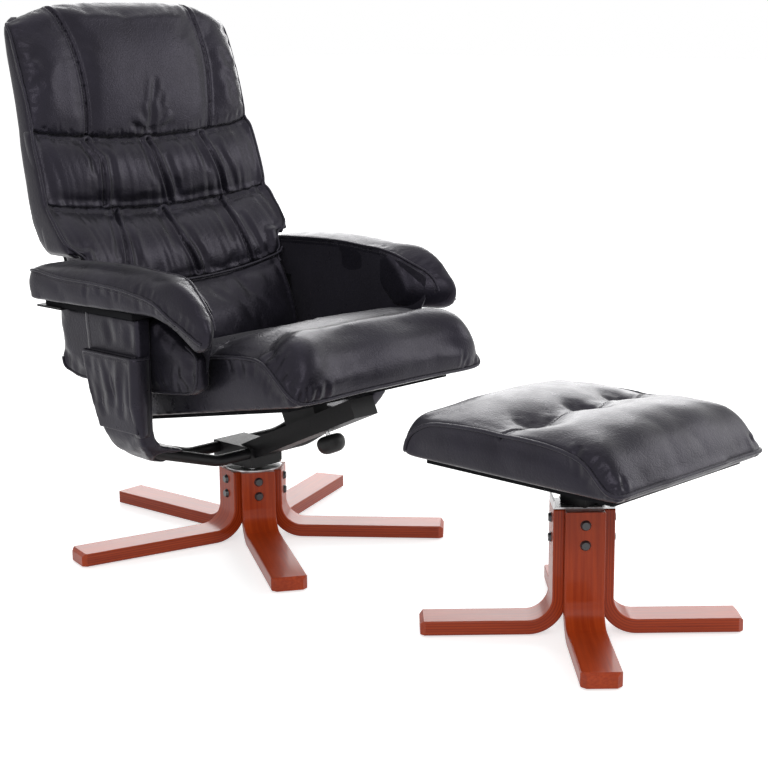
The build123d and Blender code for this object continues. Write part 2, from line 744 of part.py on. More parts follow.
    with BuildPart() as recline_bracket:
        with BuildSketch(side_plane(side * recline_x)):
            with Locations((pivot_y + (recline_rear - recline_ahead) / 2,
                            arm_board_low - seat_gap - recline_drop / 2)):
                Rectangle(recline_rear + recline_ahead, recline_drop)
            with Locations((pivot_y + slot_back, pivot_z + slot_rise)):
                Circle(recline_radius)
                SlotOverall(slot_height, slot_width, rotation=90, mode=Mode.SUBTRACT)
        extrude(amount=side * recline_thick)
        with BuildSketch(level(arm_board_low - seat_gap)):
            with Locations((side * (recline_x + recline_thick + flange_out) / 2,
                            pivot_y + (recline_rear - recline_ahead) / 2)):
                Rectangle(flange_out - recline_x - recline_thick, recline_rear + recline_ahead)
        extrude(amount=-bracket_thick)
    save(recline_bracket.part, f"recline_bracket_{hand}")


# Back: board, lugs, pins, rear shell and the four pads
def back_at(share):
    # the back line's distance behind the axis, at a share of the back's height
    last = back_line_share[-1]
    for low, high in zip(back_line_share, back_line_share[1:]):
        if share <= high[1] or high is last:
            part = (share - low[1]) / (high[1] - low[1])
            return back_line_y + back_depth * (low[0] + (high[0] - low[0]) * part)


def height_at(share):
    return back_foot + back_rise * share


def behind(height, thick):
    # a point at a height, so far behind the back line
    return (back_at((height - back_foot) / back_rise) + thick, height)


def bends_between(low, high):
    # heights at which the back line bends, between two others
    return [height_at(share) for _, share in back_line_share if low < height_at(share) < high]


board_front = seat_gap
board_rear = board_front + board_thick
shell_front = board_rear + lug_thick + seat_gap
with BuildPart() as back_board:
    with BuildSketch(side_plane(0)):
        heights = [board_foot, *bends_between(board_foot, board_head), board_head]
        front_side = [behind(height, board_front) for height in heights]
        rear_side = [behind(height, board_rear) for height in reversed(heights)]
        Polygon(*front_side, *rear_side, align=None)
    extrude(amount=lug_x, both=True)
save(back_board.part, "back_board")

with BuildPart() as hinge_lugs:
    for side in (1, -1):
        with BuildSketch(side_plane(side * hinge_lug_x)):
            heights = [board_foot, *bends_between(board_foot, hinge_lug_head), hinge_lug_head]
            Polygon((hinge_y - hinge_lug_radius, hinge_z), (hinge_y + hinge_lug_radius, hinge_z),
                    *[behind(height, board_rear + lug_thick) for height in heights],
                    *[behind(height, board_rear) for height in reversed(heights)], align=None)
            with Locations((hinge_y, hinge_z)):
                Circle(hinge_lug_radius)
                Circle(hinge_rod_radius + run_clearance, mode=Mode.SUBTRACT)
        extrude(amount=hinge_lug_half, both=True)
save(hinge_lugs.part, "back_hinge_lugs")

with BuildPart() as back_pivot_pins:
    for side in (1, -1):
        with BuildSketch(side_plane(side * lug_x)):
            with Locations((pivot_y, pivot_z)):
                Circle(pin_head)
        extrude(amount=-side * pin_head_thick)
        with BuildSketch(side_plane(side * lug_x)):
            with Locations((pivot_y, pivot_z)):
                Circle(pin_radius)
        extrude(amount=side * (recline_x + recline_thick - lug_x))
save(back_pivot_pins.part, "back_pivot_pins")

lug_foot = pivot_z - lug_below
lug_head = pivot_z + lug_above
for side, hand in ((1, "left"), (-1, "right")):
    with BuildPart() as pivot_lug:
        with BuildSketch(side_plane(side * lug_x)):
            Polygon((pivot_y, pivot_z + lug_radius), (pivot_y, pivot_z - lug_radius),
                    behind(lug_foot, board_rear), behind(lug_foot, board_rear + lug_thick),
                    behind(lug_head, board_rear + lug_thick), behind(lug_head, board_rear),
                    align=None)
            with Locations((pivot_y, pivot_z)):
                Circle(lug_radius)
                Circle(pin_radius, mode=Mode.SUBTRACT)
        extrude(amount=side * lug_thick)
        with BuildSketch(side_plane(side * lug_reach_x)):
            Polygon(behind(lug_foot, board_rear), behind(lug_foot, board_rear + lug_thick),
                    behind(lug_head, board_rear + lug_thick), behind(lug_head, board_rear),
                    align=None)
        extrude(amount=side * (lug_x - lug_reach_x))
    save(pivot_lug.part, f"pivot_lug_{hand}")

# shell sections, from its foot up: height, half width and crown as shares
shell_sections_share = ((0.0, 0.72, 0.5), (0.11, 0.86, 0.9), (0.383, 0.885, 1.0), (0.41, 0.97, 1.0),
                        (0.4775, 0.985, 1.05), (0.69, 1.0, 1.1), (0.89, 0.98, 1.0), (1.0, 0.93, 0.7))
with BuildPart() as back_shell:
    for height_share, half_share, crown_share in shell_sections_share:
        height = shell_foot + (board_head - shell_foot) * height_share
        front_y = behind(height, shell_front)[0]
        half = shell_half * half_share
        with BuildSketch(level(height)):
            with BuildLine():
                draw((-half, front_y), (half, front_y), (half, front_y + shell_edge),
                     ((0, front_y + shell_edge + shell_crown * crown_share),
                      (-half, front_y + shell_edge)), (-half, front_y))
            make_face()
    loft(ruled=True)
save(back_shell.part, "back_shell")

# Pads. Each section has its place across, then height and depth at its lower seam,
# its crown and its upper seam, all as shares.
lumbar_share = ((1.0, (0.0886, 0.68), (0.22, 0.84), (0.329, 0.78)),
                (0.87, (0.0886, 0.74), (0.22, 0.90), (0.317, 0.78)),
                (0.5, (0.0886, 0.745), (0.213, 0.82), (0.296, 0.58)),
                (0.0, (0.0886, 0.745), (0.213, 0.80), (0.2865, 0.53)))
lower_share = ((1.0, (0.36, 0.82), (0.443, 0.70), (0.53, 0.42)),
               (0.8, (0.331, 0.74), (0.43, 0.76), (0.514, 0.36)),
               (0.45, (0.302, 0.58), (0.417, 0.70), (0.5, 0.28)),
               (0.0, (0.291, 0.53), (0.409, 0.675), (0.4914, 0.26)))
upper_share = ((1.0, (0.53, 0.42), (0.626, 0.37), (0.7264, 0.29)),
               (0.8, (0.514, 0.36), (0.609, 0.53), (0.710, 0.33)),
               (0.45, (0.5, 0.28), (0.597, 0.56), (0.697, 0.34)),
               (0.0, (0.4914, 0.26), (0.5914, 0.556), (0.6915, 0.345)))


def pad_point(share, lift=0):
    height = height_at(share[0]) + lift
    return behind(height, -pad_depth * share[1])


def mirrored(sections):
    return [*sections, *[(-row[0], *row[1:]) for row in reversed(sections[:-1])]]


for label, half, sections in (("lumbar_pad", lumbar_half, lumbar_share),
                              ("lower_band", lower_half, lower_share),
                              ("upper_band", upper_half, upper_share)):
    with BuildPart() as pad:
        for across, low, crown, high in mirrored(sections):
            start = pad_point(low, seam_gap / 2)
            end = pad_point(high, -seam_gap / 2)
            with BuildSketch(side_plane(across * half)):
                with BuildLine():
                    draw(start, (pad_point(crown), end), behind(end[1], 0),
                         *[behind(height, 0) for height in
                           reversed(bends_between(start[1], end[1]))],
                         behind(start[1], 0), start)
                make_face()
        loft()
        if half > arm_notch_half and height_at(sections[-1][1][0]) < arm_notch_top:
            for side in (1, -1):
                with BuildSketch(level(arm_notch_top)):
                    with Locations((side * (arm_notch_half + half), pivot_y)):
                        Rectangle(2 * half, 2 * half)
                extrude(amount=-half, mode=Mode.SUBTRACT)
    save(pad.part, label)

# head pad sections: lower seam, crown, front top, top, rear top and lip
head_share = ((1.0, (0.7264, 0.29), (0.864, 0.24), (0.993, 0.12), (1.013, 0.03), (1.007, -0.08)),
              (0.8, (0.710, 0.33), (0.86, 0.49), (1.005, 0.36), (1.044, 0.16), (1.02, -0.17)),
              (0.6, (0.702, 0.34), (0.857, 0.48), (1.015, 0.44), (1.064, 0.21), (1.026, -0.22)),
              (0.3, (0.694, 0.345), (0.857, 0.55), (1.021, 0.49), (1.072, 0.23), (1.029, -0.24)),
              (0.0, (0.6915, 0.345), (0.857, 0.55), (1.021, 0.49), (1.073, 0.23), (1.029, -0.24)))
head_lip_share = -0.18
head_square_share = 0.5      # out to here the lip behind the board keeps its depth
head_narrow_share = 0.2
lip_height = board_head + overrun
with BuildPart() as head_pad:
    for across, low, crown, front_top, top, rear_top in mirrored(head_share):
        start = pad_point(low, seam_gap / 2)
        narrow = max(0, abs(across) - head_square_share) * head_narrow_share * pad_depth
        with BuildSketch(side_plane(across * head_half)):
            with BuildLine():
                draw(start, (pad_point(crown), pad_point(front_top)),
                     (pad_point(top), pad_point(rear_top)),
                     behind(lip_height, -pad_depth * head_lip_share - narrow),
                     behind(lip_height, 0), behind(start[1], 0), start)
            make_face()
    loft()
save(head_pad.part, "head_pad")

# Footstool base, like the chair's
stool_place = (stool_ahead, stool_aside)
stool_angles = leg_angles(stool_leg_turn, stool_leg_count)
for number, angle in enumerate(stool_angles, 1):
    make_leg(f"stool_leg_{number}", angle, stool_leg_count, stool_leg_reach,
             stool_leg_face, stool_leg_top, stool_bolt_drop, *stool_place)
make_bolts("stool_leg_bolts", stool_angles, stool_leg_face, stool_leg_top,
           stool_bolt_drop, *stool_place)
make_glides("stool_glides", stool_angles, stool_leg_reach, *stool_place)
stool_sleeve_bore = stool_shaft_radius + run_clearance
stool_sleeve_radius = stool_sleeve_bore + stool_sleeve_wall
make_hub("stool_hub", stool_leg_turn, stool_leg_count, stool_leg_face, stool_hub_foot,
         stool_leg_top, stool_bolt_drop, stool_sleeve_radius, *stool_place)
make_ring("stool_bearing_sleeve", stool_hub_foot, stool_leg_top,
          stool_sleeve_radius, stool_sleeve_bore, *stool_place)

with BuildPart() as stool_hub_cap:
    flat_turn = radians(stool_leg_turn + 90)
    cap_plane = Plane(origin=level(stool_leg_top, *stool_place).origin,
                      x_dir=(cos(flat_turn), sin(flat_turn), 0), z_dir=(0, 0, 1))
    with BuildSketch(cap_plane):
        Rectangle(2 * stool_leg_face, 2 * stool_cap_half)
        Circle(stool_sleeve_radius + seat_gap, mode=Mode.SUBTRACT)
    extrude(amount=cap_plate)
    with BuildSketch(cap_plane):
        with GridLocations(2 * stool_leg_face - cap_plate, 0, 2, 1):
            Rectangle(cap_plate, 2 * stool_cap_half)
    extrude(amount=stool_cap_height)
save(stool_hub_cap.part, "stool_hub_cap")

# Footstool spindle, swivel block with its plate, board and screws
with BuildPart() as stool_spindle:
    with BuildSketch(level(stool_hub_foot, *stool_place)):
        Circle(stool_shaft_radius)
    extrude(amount=block_low - stool_hub_foot)
    with BuildSketch(level(block_low, *stool_place)):
        Circle(stool_sleeve_radius)
    extrude(amount=stool_leg_top + seat_gap - block_low)
save(stool_spindle.part, "stool_spindle")

screw_spread = 2 * (stool_plate_half - screw_inset)
stool_board_low = block_high + stool_plate_thick
with BuildPart() as swivel_block:
    with BuildSketch(level(block_low, *stool_place)):
        Rectangle(2 * block_half, 2 * block_half)
    extrude(amount=block_high - block_low)
    with BuildSketch(level(block_high, *stool_place)):
        Rectangle(2 * stool_plate_half, 2 * stool_plate_half)
        with GridLocations(screw_spread, screw_spread, 2, 2):
            Circle(screw_head_radius / 2, mode=Mode.SUBTRACT)
    extrude(amount=stool_plate_thick)
save(swivel_block.part, "stool_swivel_block")

with BuildPart() as stool_screws:
    with BuildSketch(level(block_high, *stool_place)):
        with GridLocations(screw_spread, screw_spread, 2, 2):
            Circle(screw_head_radius)
    extrude(amount=-screw_head_thick)
    with BuildSketch(level(block_high, *stool_place)):
        with GridLocations(screw_spread, screw_spread, 2, 2):
            Circle(screw_head_radius / 2)
    extrude(amount=stool_plate_thick)
save(stool_screws.part, "stool_board_screws")

with BuildPart() as stool_board:
    with BuildSketch(level(stool_board_low, *stool_place)):
        Rectangle(2 * stool_board_half_x, 2 * stool_board_half_y)
    extrude(amount=stool_board_thick)
save(stool_board.part, "stool_board")

# Footstool cushion: place across, then the outline from the rear foot over the two
# humps and the seam between them, as shares of its length and height
stool_sections_share = (
    (1.0, (0.0, 0.08), (0.025, 0.38), (0.12, 0.50), (0.30, 0.60), (0.48, 0.60),
     (0.64, 0.61), (0.80, 0.54), (0.92, 0.36), (0.995, 0.08)),
    (0.955, (-0.005, 0.12), (0.02, 0.52), (0.12, 0.64), (0.29, 0.67), (0.482, 0.63),
     (0.66, 0.69), (0.82, 0.65), (0.94, 0.48), (1.005, 0.12)),
    (0.72, (-0.008, 0.15), (0.02, 0.58), (0.13, 0.70), (0.30, 0.75), (0.485, 0.67),
     (0.66, 0.80), (0.82, 0.72), (0.94, 0.47), (1.01, 0.11)),
    (0.5, (-0.01, 0.16), (0.02, 0.60), (0.135, 0.73), (0.30, 0.79), (0.49, 0.63),
     (0.67, 0.84), (0.82, 0.75), (0.94, 0.48), (1.012, 0.11)),
    (0.25, (-0.01, 0.16), (0.02, 0.61), (0.135, 0.75), (0.30, 0.83), (0.495, 0.73),
     (0.67, 0.87), (0.82, 0.77), (0.94, 0.49), (1.014, 0.11)),
    (0.0, (-0.01, 0.16), (0.02, 0.61), (0.135, 0.76), (0.30, 0.835), (0.50, 0.65),
     (0.67, 0.87), (0.82, 0.77), (0.94, 0.49), (1.014, 0.11)),
)
with BuildPart() as stool_cushion:
    for across, *shares in mirrored(stool_sections_share):
        place = Plane(origin=(stool_aside + across * stool_half,
                              chair_y - stool_ahead + stool_rear, stool_under),
                      x_dir=(0, -1, 0), z_dir=(-1, 0, 0))
        p = [(share[0] * stool_length, share[1] * stool_crown) for share in shares]
        with BuildSketch(place):
            with BuildLine():
                draw((0, 0), (stool_length, 0), p[8], (p[7], p[6]), (p[5], p[4]),
                     (p[3], p[2]), (p[1], p[0]), (0, 0))
            make_face()
    loft()
save(stool_cushion.part, "stool_cushion")
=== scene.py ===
import json
import math

import bpy
import bmesh
import numpy as np
from mathutils import Matrix, Vector
from mathutils.bvhtree import BVHTree


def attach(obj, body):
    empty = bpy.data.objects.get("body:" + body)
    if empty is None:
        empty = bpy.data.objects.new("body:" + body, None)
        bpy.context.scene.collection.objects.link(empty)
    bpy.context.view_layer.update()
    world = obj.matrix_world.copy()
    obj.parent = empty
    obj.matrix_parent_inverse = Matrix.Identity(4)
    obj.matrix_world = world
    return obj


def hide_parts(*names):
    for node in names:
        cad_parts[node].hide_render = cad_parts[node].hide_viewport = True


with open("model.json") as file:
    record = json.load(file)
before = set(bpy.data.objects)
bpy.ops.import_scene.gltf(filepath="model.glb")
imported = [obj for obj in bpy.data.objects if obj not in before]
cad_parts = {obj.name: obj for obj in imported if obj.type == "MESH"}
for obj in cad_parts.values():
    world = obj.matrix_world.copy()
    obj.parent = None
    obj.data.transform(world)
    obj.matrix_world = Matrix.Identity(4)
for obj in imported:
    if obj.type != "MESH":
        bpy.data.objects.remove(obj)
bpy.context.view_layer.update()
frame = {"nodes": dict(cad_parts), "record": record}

scene = bpy.context.scene
chairY = 0.304                     # the chair's swivel axis
stoolAxis = (0.005, -0.509)        # the footstool's swivel axis
print("frame loaded:", len(frame["nodes"]), "nodes")


# camera
cameraSetup = dict(place=(-2.1749, -2.17786, 1.01011), heading=(0.7163, 0.6978),
                   pitch=12.0884, roll=-0.421, lens=80.37)


def addCamera(setup):
    pitch, roll = math.radians(setup["pitch"]), math.radians(setup["roll"])
    ahead = Vector((setup["heading"][0] * math.cos(pitch), setup["heading"][1] * math.cos(pitch),
                    -math.sin(pitch))).normalized()
    right = ahead.cross(Vector((0, 0, 1))).normalized()
    up = right.cross(ahead)
    right, up = (right * math.cos(roll) + up * math.sin(roll),
                 up * math.cos(roll) - right * math.sin(roll))
    camera = bpy.data.objects.new("camera", bpy.data.cameras.new("camera"))
    scene.collection.objects.link(camera)
    turn = Matrix((right, up, -ahead)).transposed().to_4x4()
    camera.matrix_world = Matrix.Translation(setup["place"]) @ turn
    camera.data.lens = setup["lens"]
    camera.data.sensor_width = 36
    camera.data.clip_end = 60
    scene.camera = camera


addCamera(cameraSetup)


# small helpers for node trees
def feed(tree, node, values):
    # a value is a plain one, or the output that is wired to that input
    for key, value in values.items():
        if hasattr(value, "is_linked"):
            tree.links.new(value, node.inputs[key])
        else:
            node.inputs[key].default_value = value


def addNode(tree, kind, values=None, **settings):
    node = tree.nodes.new(kind)
    for key, value in settings.items():
        setattr(node, key, value)
    feed(tree, node, values or {})
    return node


def newFinish(name, **shader):
    finish = bpy.data.materials.new(name)
    finish.use_nodes = True
    tree = finish.node_tree
    tree.nodes.clear()
    skin = addNode(tree, "ShaderNodeBsdfPrincipled", shader)
    addNode(tree, "ShaderNodeOutputMaterial", {"Surface": skin.outputs[0]})
    return finish, tree, skin


def objectSpace(tree):
    return addNode(tree, "ShaderNodeTexCoord").outputs["Object"]


def noiseOf(tree, vector, scale, detail=2.0, rough=0.5, distortion=0.0, out="Fac"):
    values = {"Vector": vector, "Scale": scale, "Detail": detail, "Roughness": rough,
              "Distortion": distortion}
    return addNode(tree, "ShaderNodeTexNoise", values).outputs[out]


def between(tree, value, low, high, fromLow=0.0, fromHigh=1.0):
    values = {"Value": value, "From Min": fromLow, "From Max": fromHigh, "To Min": low, "To Max": high}
    return addNode(tree, "ShaderNodeMapRange", values).outputs["Result"]


def mixTone(tree, factor, first, second):
    tones = {place: tone if hasattr(tone, "is_linked") else (*tone, 1)
             for place, tone in ((6, first), (7, second))}
    return addNode(tree, "ShaderNodeMix", {0: factor, **tones}, data_type="RGBA").outputs[2]


def sum2(tree, kind, first, second):
    return addNode(tree, "ShaderNodeMath", {0: first, 1: second}, operation=kind).outputs[0]


def addBump(tree, height, distance, strength, under=None):
    values = {"Height": height, "Distance": distance, "Strength": strength}
    if under is not None:
        values["Normal"] = under
    return addNode(tree, "ShaderNodeBump", values).outputs["Normal"]


# leather
# the lightest tone goes on sharp edges and piping: partly wear of the leather, partly a painted highlight
leatherLook = dict(dark=(0.006, 0.0056, 0.0084), light=(0.013, 0.0122, 0.018), wearAndHighlight=(0.034, 0.032, 0.041),
                   grain=420, grainDepth=0.0003, creaseScale=40, creaseDepth=0.001, creaseBend=0.0045,
                   roughLow=0.26, roughHigh=0.37,
                   shader={"Specular IOR Level": 0.24, "Specular Tint": (0.86, 0.78, 1.0, 1),
                           "Sheen Weight": 0.06, "Sheen Roughness": 0.45,
                           "Coat Weight": 0.05, "Coat Roughness": 0.22})


def leatherFinish(name, look):
    finish, tree, skin = newFinish(name, **look["shader"])
    place = objectSpace(tree)
    cloud = noiseOf(tree, place, 11, 3.0, 0.55)
    tone = mixTone(tree, between(tree, cloud, 0, 1, 0.35, 0.68), look["dark"], look["light"])
    # sharp edges and piping get a lighter tone: partly wear of the leather, partly a painted highlight
    edge = addNode(tree, "ShaderNodeNewGeometry").outputs["Pointiness"]
    tone = mixTone(tree, between(tree, edge, 0, 0.5, 0.52, 0.62), tone, look["wearAndHighlight"])
    bent = addNode(tree, "ShaderNodeVectorMath", {0: noiseOf(tree, place, 60, out="Color"),
                                                  1: (look["creaseBend"],) * 3, 2: place},
                   operation="MULTIPLY_ADD").outputs[0]
    pebble = addNode(tree, "ShaderNodeTexVoronoi", {"Vector": place, "Scale": look["grain"],
                                                    "Randomness": 0.9}, feature="SMOOTH_F1")
    pore = addNode(tree, "ShaderNodeTexVoronoi", {"Vector": bent, "Scale": look["creaseScale"] * 3.3},
                   feature="DISTANCE_TO_EDGE")
    fine = sum2(tree, "SUBTRACT", between(tree, pore.outputs["Distance"], 0, 0.7, 0, 0.12),
                pebble.outputs["Distance"])
    fold = noiseOf(tree, place, look["creaseScale"], 5.0, 0.62, 0.9)
    first = addBump(tree, fold, look["creaseDepth"], 0.42)
    patch = noiseOf(tree, place, 30, 4.0, 0.6)
    feed(tree, skin, {"Base Color": tone, "Normal": addBump(tree, fine, look["grainDepth"], 0.55, first),
                      "Roughness": between(tree, patch, look["roughLow"], look["roughHigh"], 0.3, 0.7)})
    return finish


leather = leatherFinish("blackLeather", leatherLook)
pipingLeather = leatherFinish("pipingLeather", {**leatherLook, "creaseScale": 150, "creaseDepth": 0.0007,
                                                "light": (0.018, 0.017, 0.024)})
threadFinish, threadTree, threadSkin = newFinish("stitchThread", **{"Roughness": 0.62})
threadTone = mixTone(threadTree, noiseOf(threadTree, objectSpace(threadTree), 900, 2),
                     (0.012, 0.012, 0.014), (0.06, 0.058, 0.066))
feed(threadTree, threadSkin, {"Base Color": threadTone})
print("leather made")


# wood of the legs and boards
woodLook = dict(light=(0.46, 0.06, 0.011), mid=(0.33, 0.035, 0.006), dark=(0.13, 0.012, 0.003),
                fibre=170, plyStep=0.0023, plyDepth=330.0, legWidth=0.066, faceThick=0.0275, bendOut=0.04,
                shader={"Specular IOR Level": 0.18, "Coat Weight": 0.16, "Coat Roughness": 0.09})


def legWood(name, look, axis, angle, face):
    finish, tree, skin = newFinish(name, **look["shader"])
    turned = addNode(tree, "ShaderNodeMapping", {"Vector": objectSpace(tree), "Location": (*axis, 0),
                                                 "Rotation": (0, 0, angle)}, vector_type="TEXTURE")
    out, across, up = addNode(tree, "ShaderNodeSeparateXYZ", {0: turned.outputs[0]}).outputs
    # depth into the plies: they follow the upright, the bend and the foot
    outward = sum2(tree, "MAXIMUM", sum2(tree, "SUBTRACT", face + look["bendOut"], out), 0.0)
    downward = sum2(tree, "MAXIMUM", sum2(tree, "SUBTRACT", look["faceThick"] + look["bendOut"], up), 0.0)
    depth = sum2(tree, "SQRT", sum2(tree, "ADD", sum2(tree, "MULTIPLY", outward, outward),
                                    sum2(tree, "MULTIPLY", downward, downward)), 0.0)
    along = sum2(tree, "SUBTRACT", out, up)
    stretched = []
    for scales in ((5.0, look["fibre"], look["plyDepth"]), (2.2, 20.0, 8.0)):
        ways = enumerate(zip((along, across, depth), scales))
        values = {place: sum2(tree, "MULTIPLY", way, scale) for place, (way, scale) in ways}
        stretched.append(addNode(tree, "ShaderNodeCombineXYZ", values).outputs[0])
    lines = noiseOf(tree, stretched[0], 1.0, 4.0, 0.6, 0.25)
    flame = noiseOf(tree, stretched[1], 1.0, 2.0, 0.5, 1.1)
    tone = mixTone(tree, between(tree, lines, 0, 1, 0.33, 0.7), look["mid"], look["light"])
    tone = mixTone(tree, between(tree, flame, 0.0, 0.42, 0.42, 0.75), tone, look["dark"])
    # the plies' ends show on the two sides
    ply = sum2(tree, "PINGPONG", depth, look["plyStep"])
    side = between(tree, sum2(tree, "ABSOLUTE", across, 0.0), 0, 1,
                   look["legWidth"] / 2 - 0.0014, look["legWidth"] / 2 - 0.0006)
    stripe = sum2(tree, "MULTIPLY", side, between(tree, ply, 0.0, 0.62, look["plyStep"] * 0.55,
                                                  look["plyStep"] * 0.95))
    feed(tree, skin, {"Base Color": mixTone(tree, stripe, tone, look["dark"]),
                      "Roughness": between(tree, lines, 0.3, 0.42),
                      "Normal": addBump(tree, lines, 0.0004, 0.18)})
    return finish


def liningCloth(name):
    # the thin black cloth under the seat, the arms and the footstool
    finish, tree, skin = newFinish(name, **{"Roughness": 0.9, "Specular IOR Level": 0.12})
    place = objectSpace(tree)
    weave = addNode(tree, "ShaderNodeTexVoronoi", {"Vector": place, "Scale": 700.0})
    tone = mixTone(tree, noiseOf(tree, place, 60, 3), (0.006, 0.006, 0.007), (0.014, 0.014, 0.016))
    feed(tree, skin, {"Base Color": tone,
                      "Normal": addBump(tree, weave.outputs["Distance"], 0.0003, 0.4)})
    return finish


# metals and plastics
def hardFinish(name, colours, metal, rough, speckle, depth, coat=0.0, gloss=0.5):
    finish, tree, skin = newFinish(name, **{"Specular IOR Level": gloss, "Metallic": metal,
                                            "Coat Weight": coat, "Coat Roughness": 0.2})
    spots = noiseOf(tree, objectSpace(tree), speckle, 4.0, 0.65, 0.4)
    feed(tree, skin, {"Base Color": mixTone(tree, between(tree, spots, 0, 1, 0.3, 0.7), *colours),
                      "Roughness": between(tree, spots, *rough, 0.3, 0.7),
                      "Normal": addBump(tree, spots, depth, 0.3)})
    return finish


# for each slot: name, two colours, metal, roughness, scale and depth of the speckle, coat and gloss
hardLooks = dict(
    black_steel=("blackSteel", ((0.005, 0.005, 0.006), (0.013, 0.013, 0.014)), 0.0, (0.42, 0.6),
                 240, 0.0003, 0.06, 0.2),
    zinc_steel=("zincSteel", ((0.42, 0.42, 0.43), (0.66, 0.66, 0.66)), 1.0, (0.28, 0.46), 160, 0.0002),
    bright_steel=("brightSteel", ((0.58, 0.58, 0.59), (0.74, 0.74, 0.74)), 1.0, (0.16, 0.28), 300, 0.0001),
    black_bolts=("blackBolts", ((0.01, 0.01, 0.012), (0.03, 0.031, 0.036)), 0.0, (0.26, 0.4),
                 500, 0.0002, 0.4),
    black_plastic=("blackPlastic", ((0.01, 0.01, 0.01), (0.02, 0.02, 0.021)), 0.0, (0.36, 0.52),
                   800, 0.0002, 0.0, 0.25),
    glide_plastic=("glidePlastic", ((0.015, 0.015, 0.015), (0.035, 0.034, 0.033)), 0.0, (0.5, 0.7),
                   600, 0.0003),
    bearing_plastic=("bearingPlastic", ((0.45, 0.44, 0.4), (0.6, 0.59, 0.55)), 0.0, (0.4, 0.55),
                     500, 0.0001))
finishes = {"black_leather": leather, "lined_plywood": liningCloth("liningCloth")}
for slot, row in hardLooks.items():
    finishes[slot] = hardFinish(*row)

legSets = dict(chair=(5, -122, (0, chairY), 0.06), stool=(4, -135, stoolAxis, 0.051))
slotOfNode = {row["node"]: row["material_slot"] for row in frame["record"]["subparts"]}


def dress(obj, finish):
    if not obj.data.materials:
        obj.data.materials.append(finish)
    for place in obj.material_slots:
        place.material = finish


for nodeName, obj in frame["nodes"].items():
    dress(obj, finishes.get(slotOfNode[nodeName], leather))
for family, (count, turn, axis, face) in legSets.items():
    for number in range(count):
        angle = math.radians(turn + 360 / count * number)
        dress(frame["nodes"][f"{family}_leg_{number + 1}"],
              legWood(f"{family}Wood{number + 1}", woodLook, axis, angle, face))
print("wood, metal and plastic made")


# mesh helpers
def chairSpot(x, y, z):
    return Vector((x / 1000, chairY + y / 1000, z / 1000))


def readPoints(mesh):
    flat = np.empty(len(mesh.vertices) * 3, np.float32)
    mesh.vertices.foreach_get("co", flat)
    return flat.reshape(-1, 3).astype(float)


def writePoints(mesh, points):
    mesh.vertices.foreach_set("co", points.astype(np.float32).ravel())
    mesh.update()


def readNormals(mesh):
    flat = np.empty(len(mesh.vertices) * 3, np.float32)
    mesh.vertex_normals.foreach_get("vector", flat)
    return flat.reshape(-1, 3).astype(float)


def readShape(obj):
    return readPoints(obj.data), readNormals(obj.data)


def evenOut(mesh, values, rounds, pull=0.5, keepSize=False):
    # each round pulls a value towards the mean of its neighbours
    ends = np.empty(len(mesh.edges) * 2, np.int32)
    mesh.edges.foreach_get("vertices", ends)
    first, second = ends.reshape(-1, 2).T
    total = len(mesh.vertices)
    count = np.maximum(np.bincount(first, minlength=total) + np.bincount(second, minlength=total), 1)
    values = values.reshape(total, -1).copy()
    for number in range(rounds):
        mean = np.empty_like(values)
        for column in range(values.shape[1]):
            mean[:, column] = (np.bincount(first, values[second, column], total)
                               + np.bincount(second, values[first, column], total)) / count
        share = -pull * 1.04 if keepSize and number % 2 else pull
        values += share * (mean - values)
    return values


def linkObject(name, data):
    obj = bpy.data.objects.new(name, data)
    scene.collection.objects.link(obj)
    return obj


def asObject(name, made):
    mesh = bpy.data.meshes.new(name)
    made.to_mesh(mesh)
    made.free()
    return linkObject(name, mesh)


def bakeDown(obj):
    graph = bpy.context.evaluated_depsgraph_get()
    result = bpy.data.meshes.new_from_object(obj.evaluated_get(graph))
    obj.modifiers.clear()
    old, obj.data = obj.data, result
    bpy.data.meshes.remove(old)
    result.name = obj.name
    return obj


def softCopy(name, nodes, look):
    soften = look["soften"]
    joined = bmesh.new()
    for nodeName in nodes:
        joined.from_mesh(frame["nodes"][nodeName].data)
    bmesh.ops.remove_doubles(joined, verts=joined.verts, dist=1e-5)
    obj = asObject(name, joined)
    even = obj.modifiers.new("even", "REMESH")
    even.mode = "VOXEL"
    even.voxel_size = look["voxel"]
    bakeDown(obj)
    # a deep softening first takes the edges off, then keeps the size
    plain = soften // 3 if soften > 9 else soften
    points = evenOut(obj.data, readPoints(obj.data), plain)
    if soften > 9:
        points = evenOut(obj.data, points, soften, 0.5, True)
    writePoints(obj.data, points)
    return obj


def skinOf(obj):
    mesh = obj.data
    return BVHTree.FromPolygons([v.co for v in mesh.vertices], [p.vertices for p in mesh.polygons])


lineStep = 0.006       # distance between the points of a line


def throughPoints(points, step=lineStep, closed=False):
    # a smooth line through the points, at even steps
    points = [Vector(p) for p in points]
    if closed:
        points = [points[-1], *points, points[0], points[1]]
    else:
        points = [points[0] * 2 - points[1], *points, points[-1] * 2 - points[-2]]
    line = []
    for before, start, end, after in zip(points, points[1:], points[2:], points[3:]):
        count = max(2, int((end - start).length / step))
        for number in range(count):
            t = number / count
            line.append(0.5 * (2 * start + (end - before) * t
                               + (2 * before - 5 * start + 4 * end - after) * t * t
                               + (3 * start - before - 3 * end + after) * t ** 3))
    if not closed:
        line.append(points[-2])
    return line


def onSkin(skin, line, rounds=3, closed=False):
    # the line laid on the surface and evened out, and the surface's direction there
    spots = np.array([skin.find_nearest(p)[0] for p in line])
    for _ in range(rounds):
        if closed:
            spots = 0.5 * spots + 0.25 * (np.roll(spots, 1, 0) + np.roll(spots, -1, 0))
        else:
            spots[1:-1] = 0.5 * spots[1:-1] + 0.25 * (spots[:-2] + spots[2:])
    found = [skin.find_nearest(Vector(p)) for p in spots]
    return [f[0] for f in found], [f[1] for f in found]


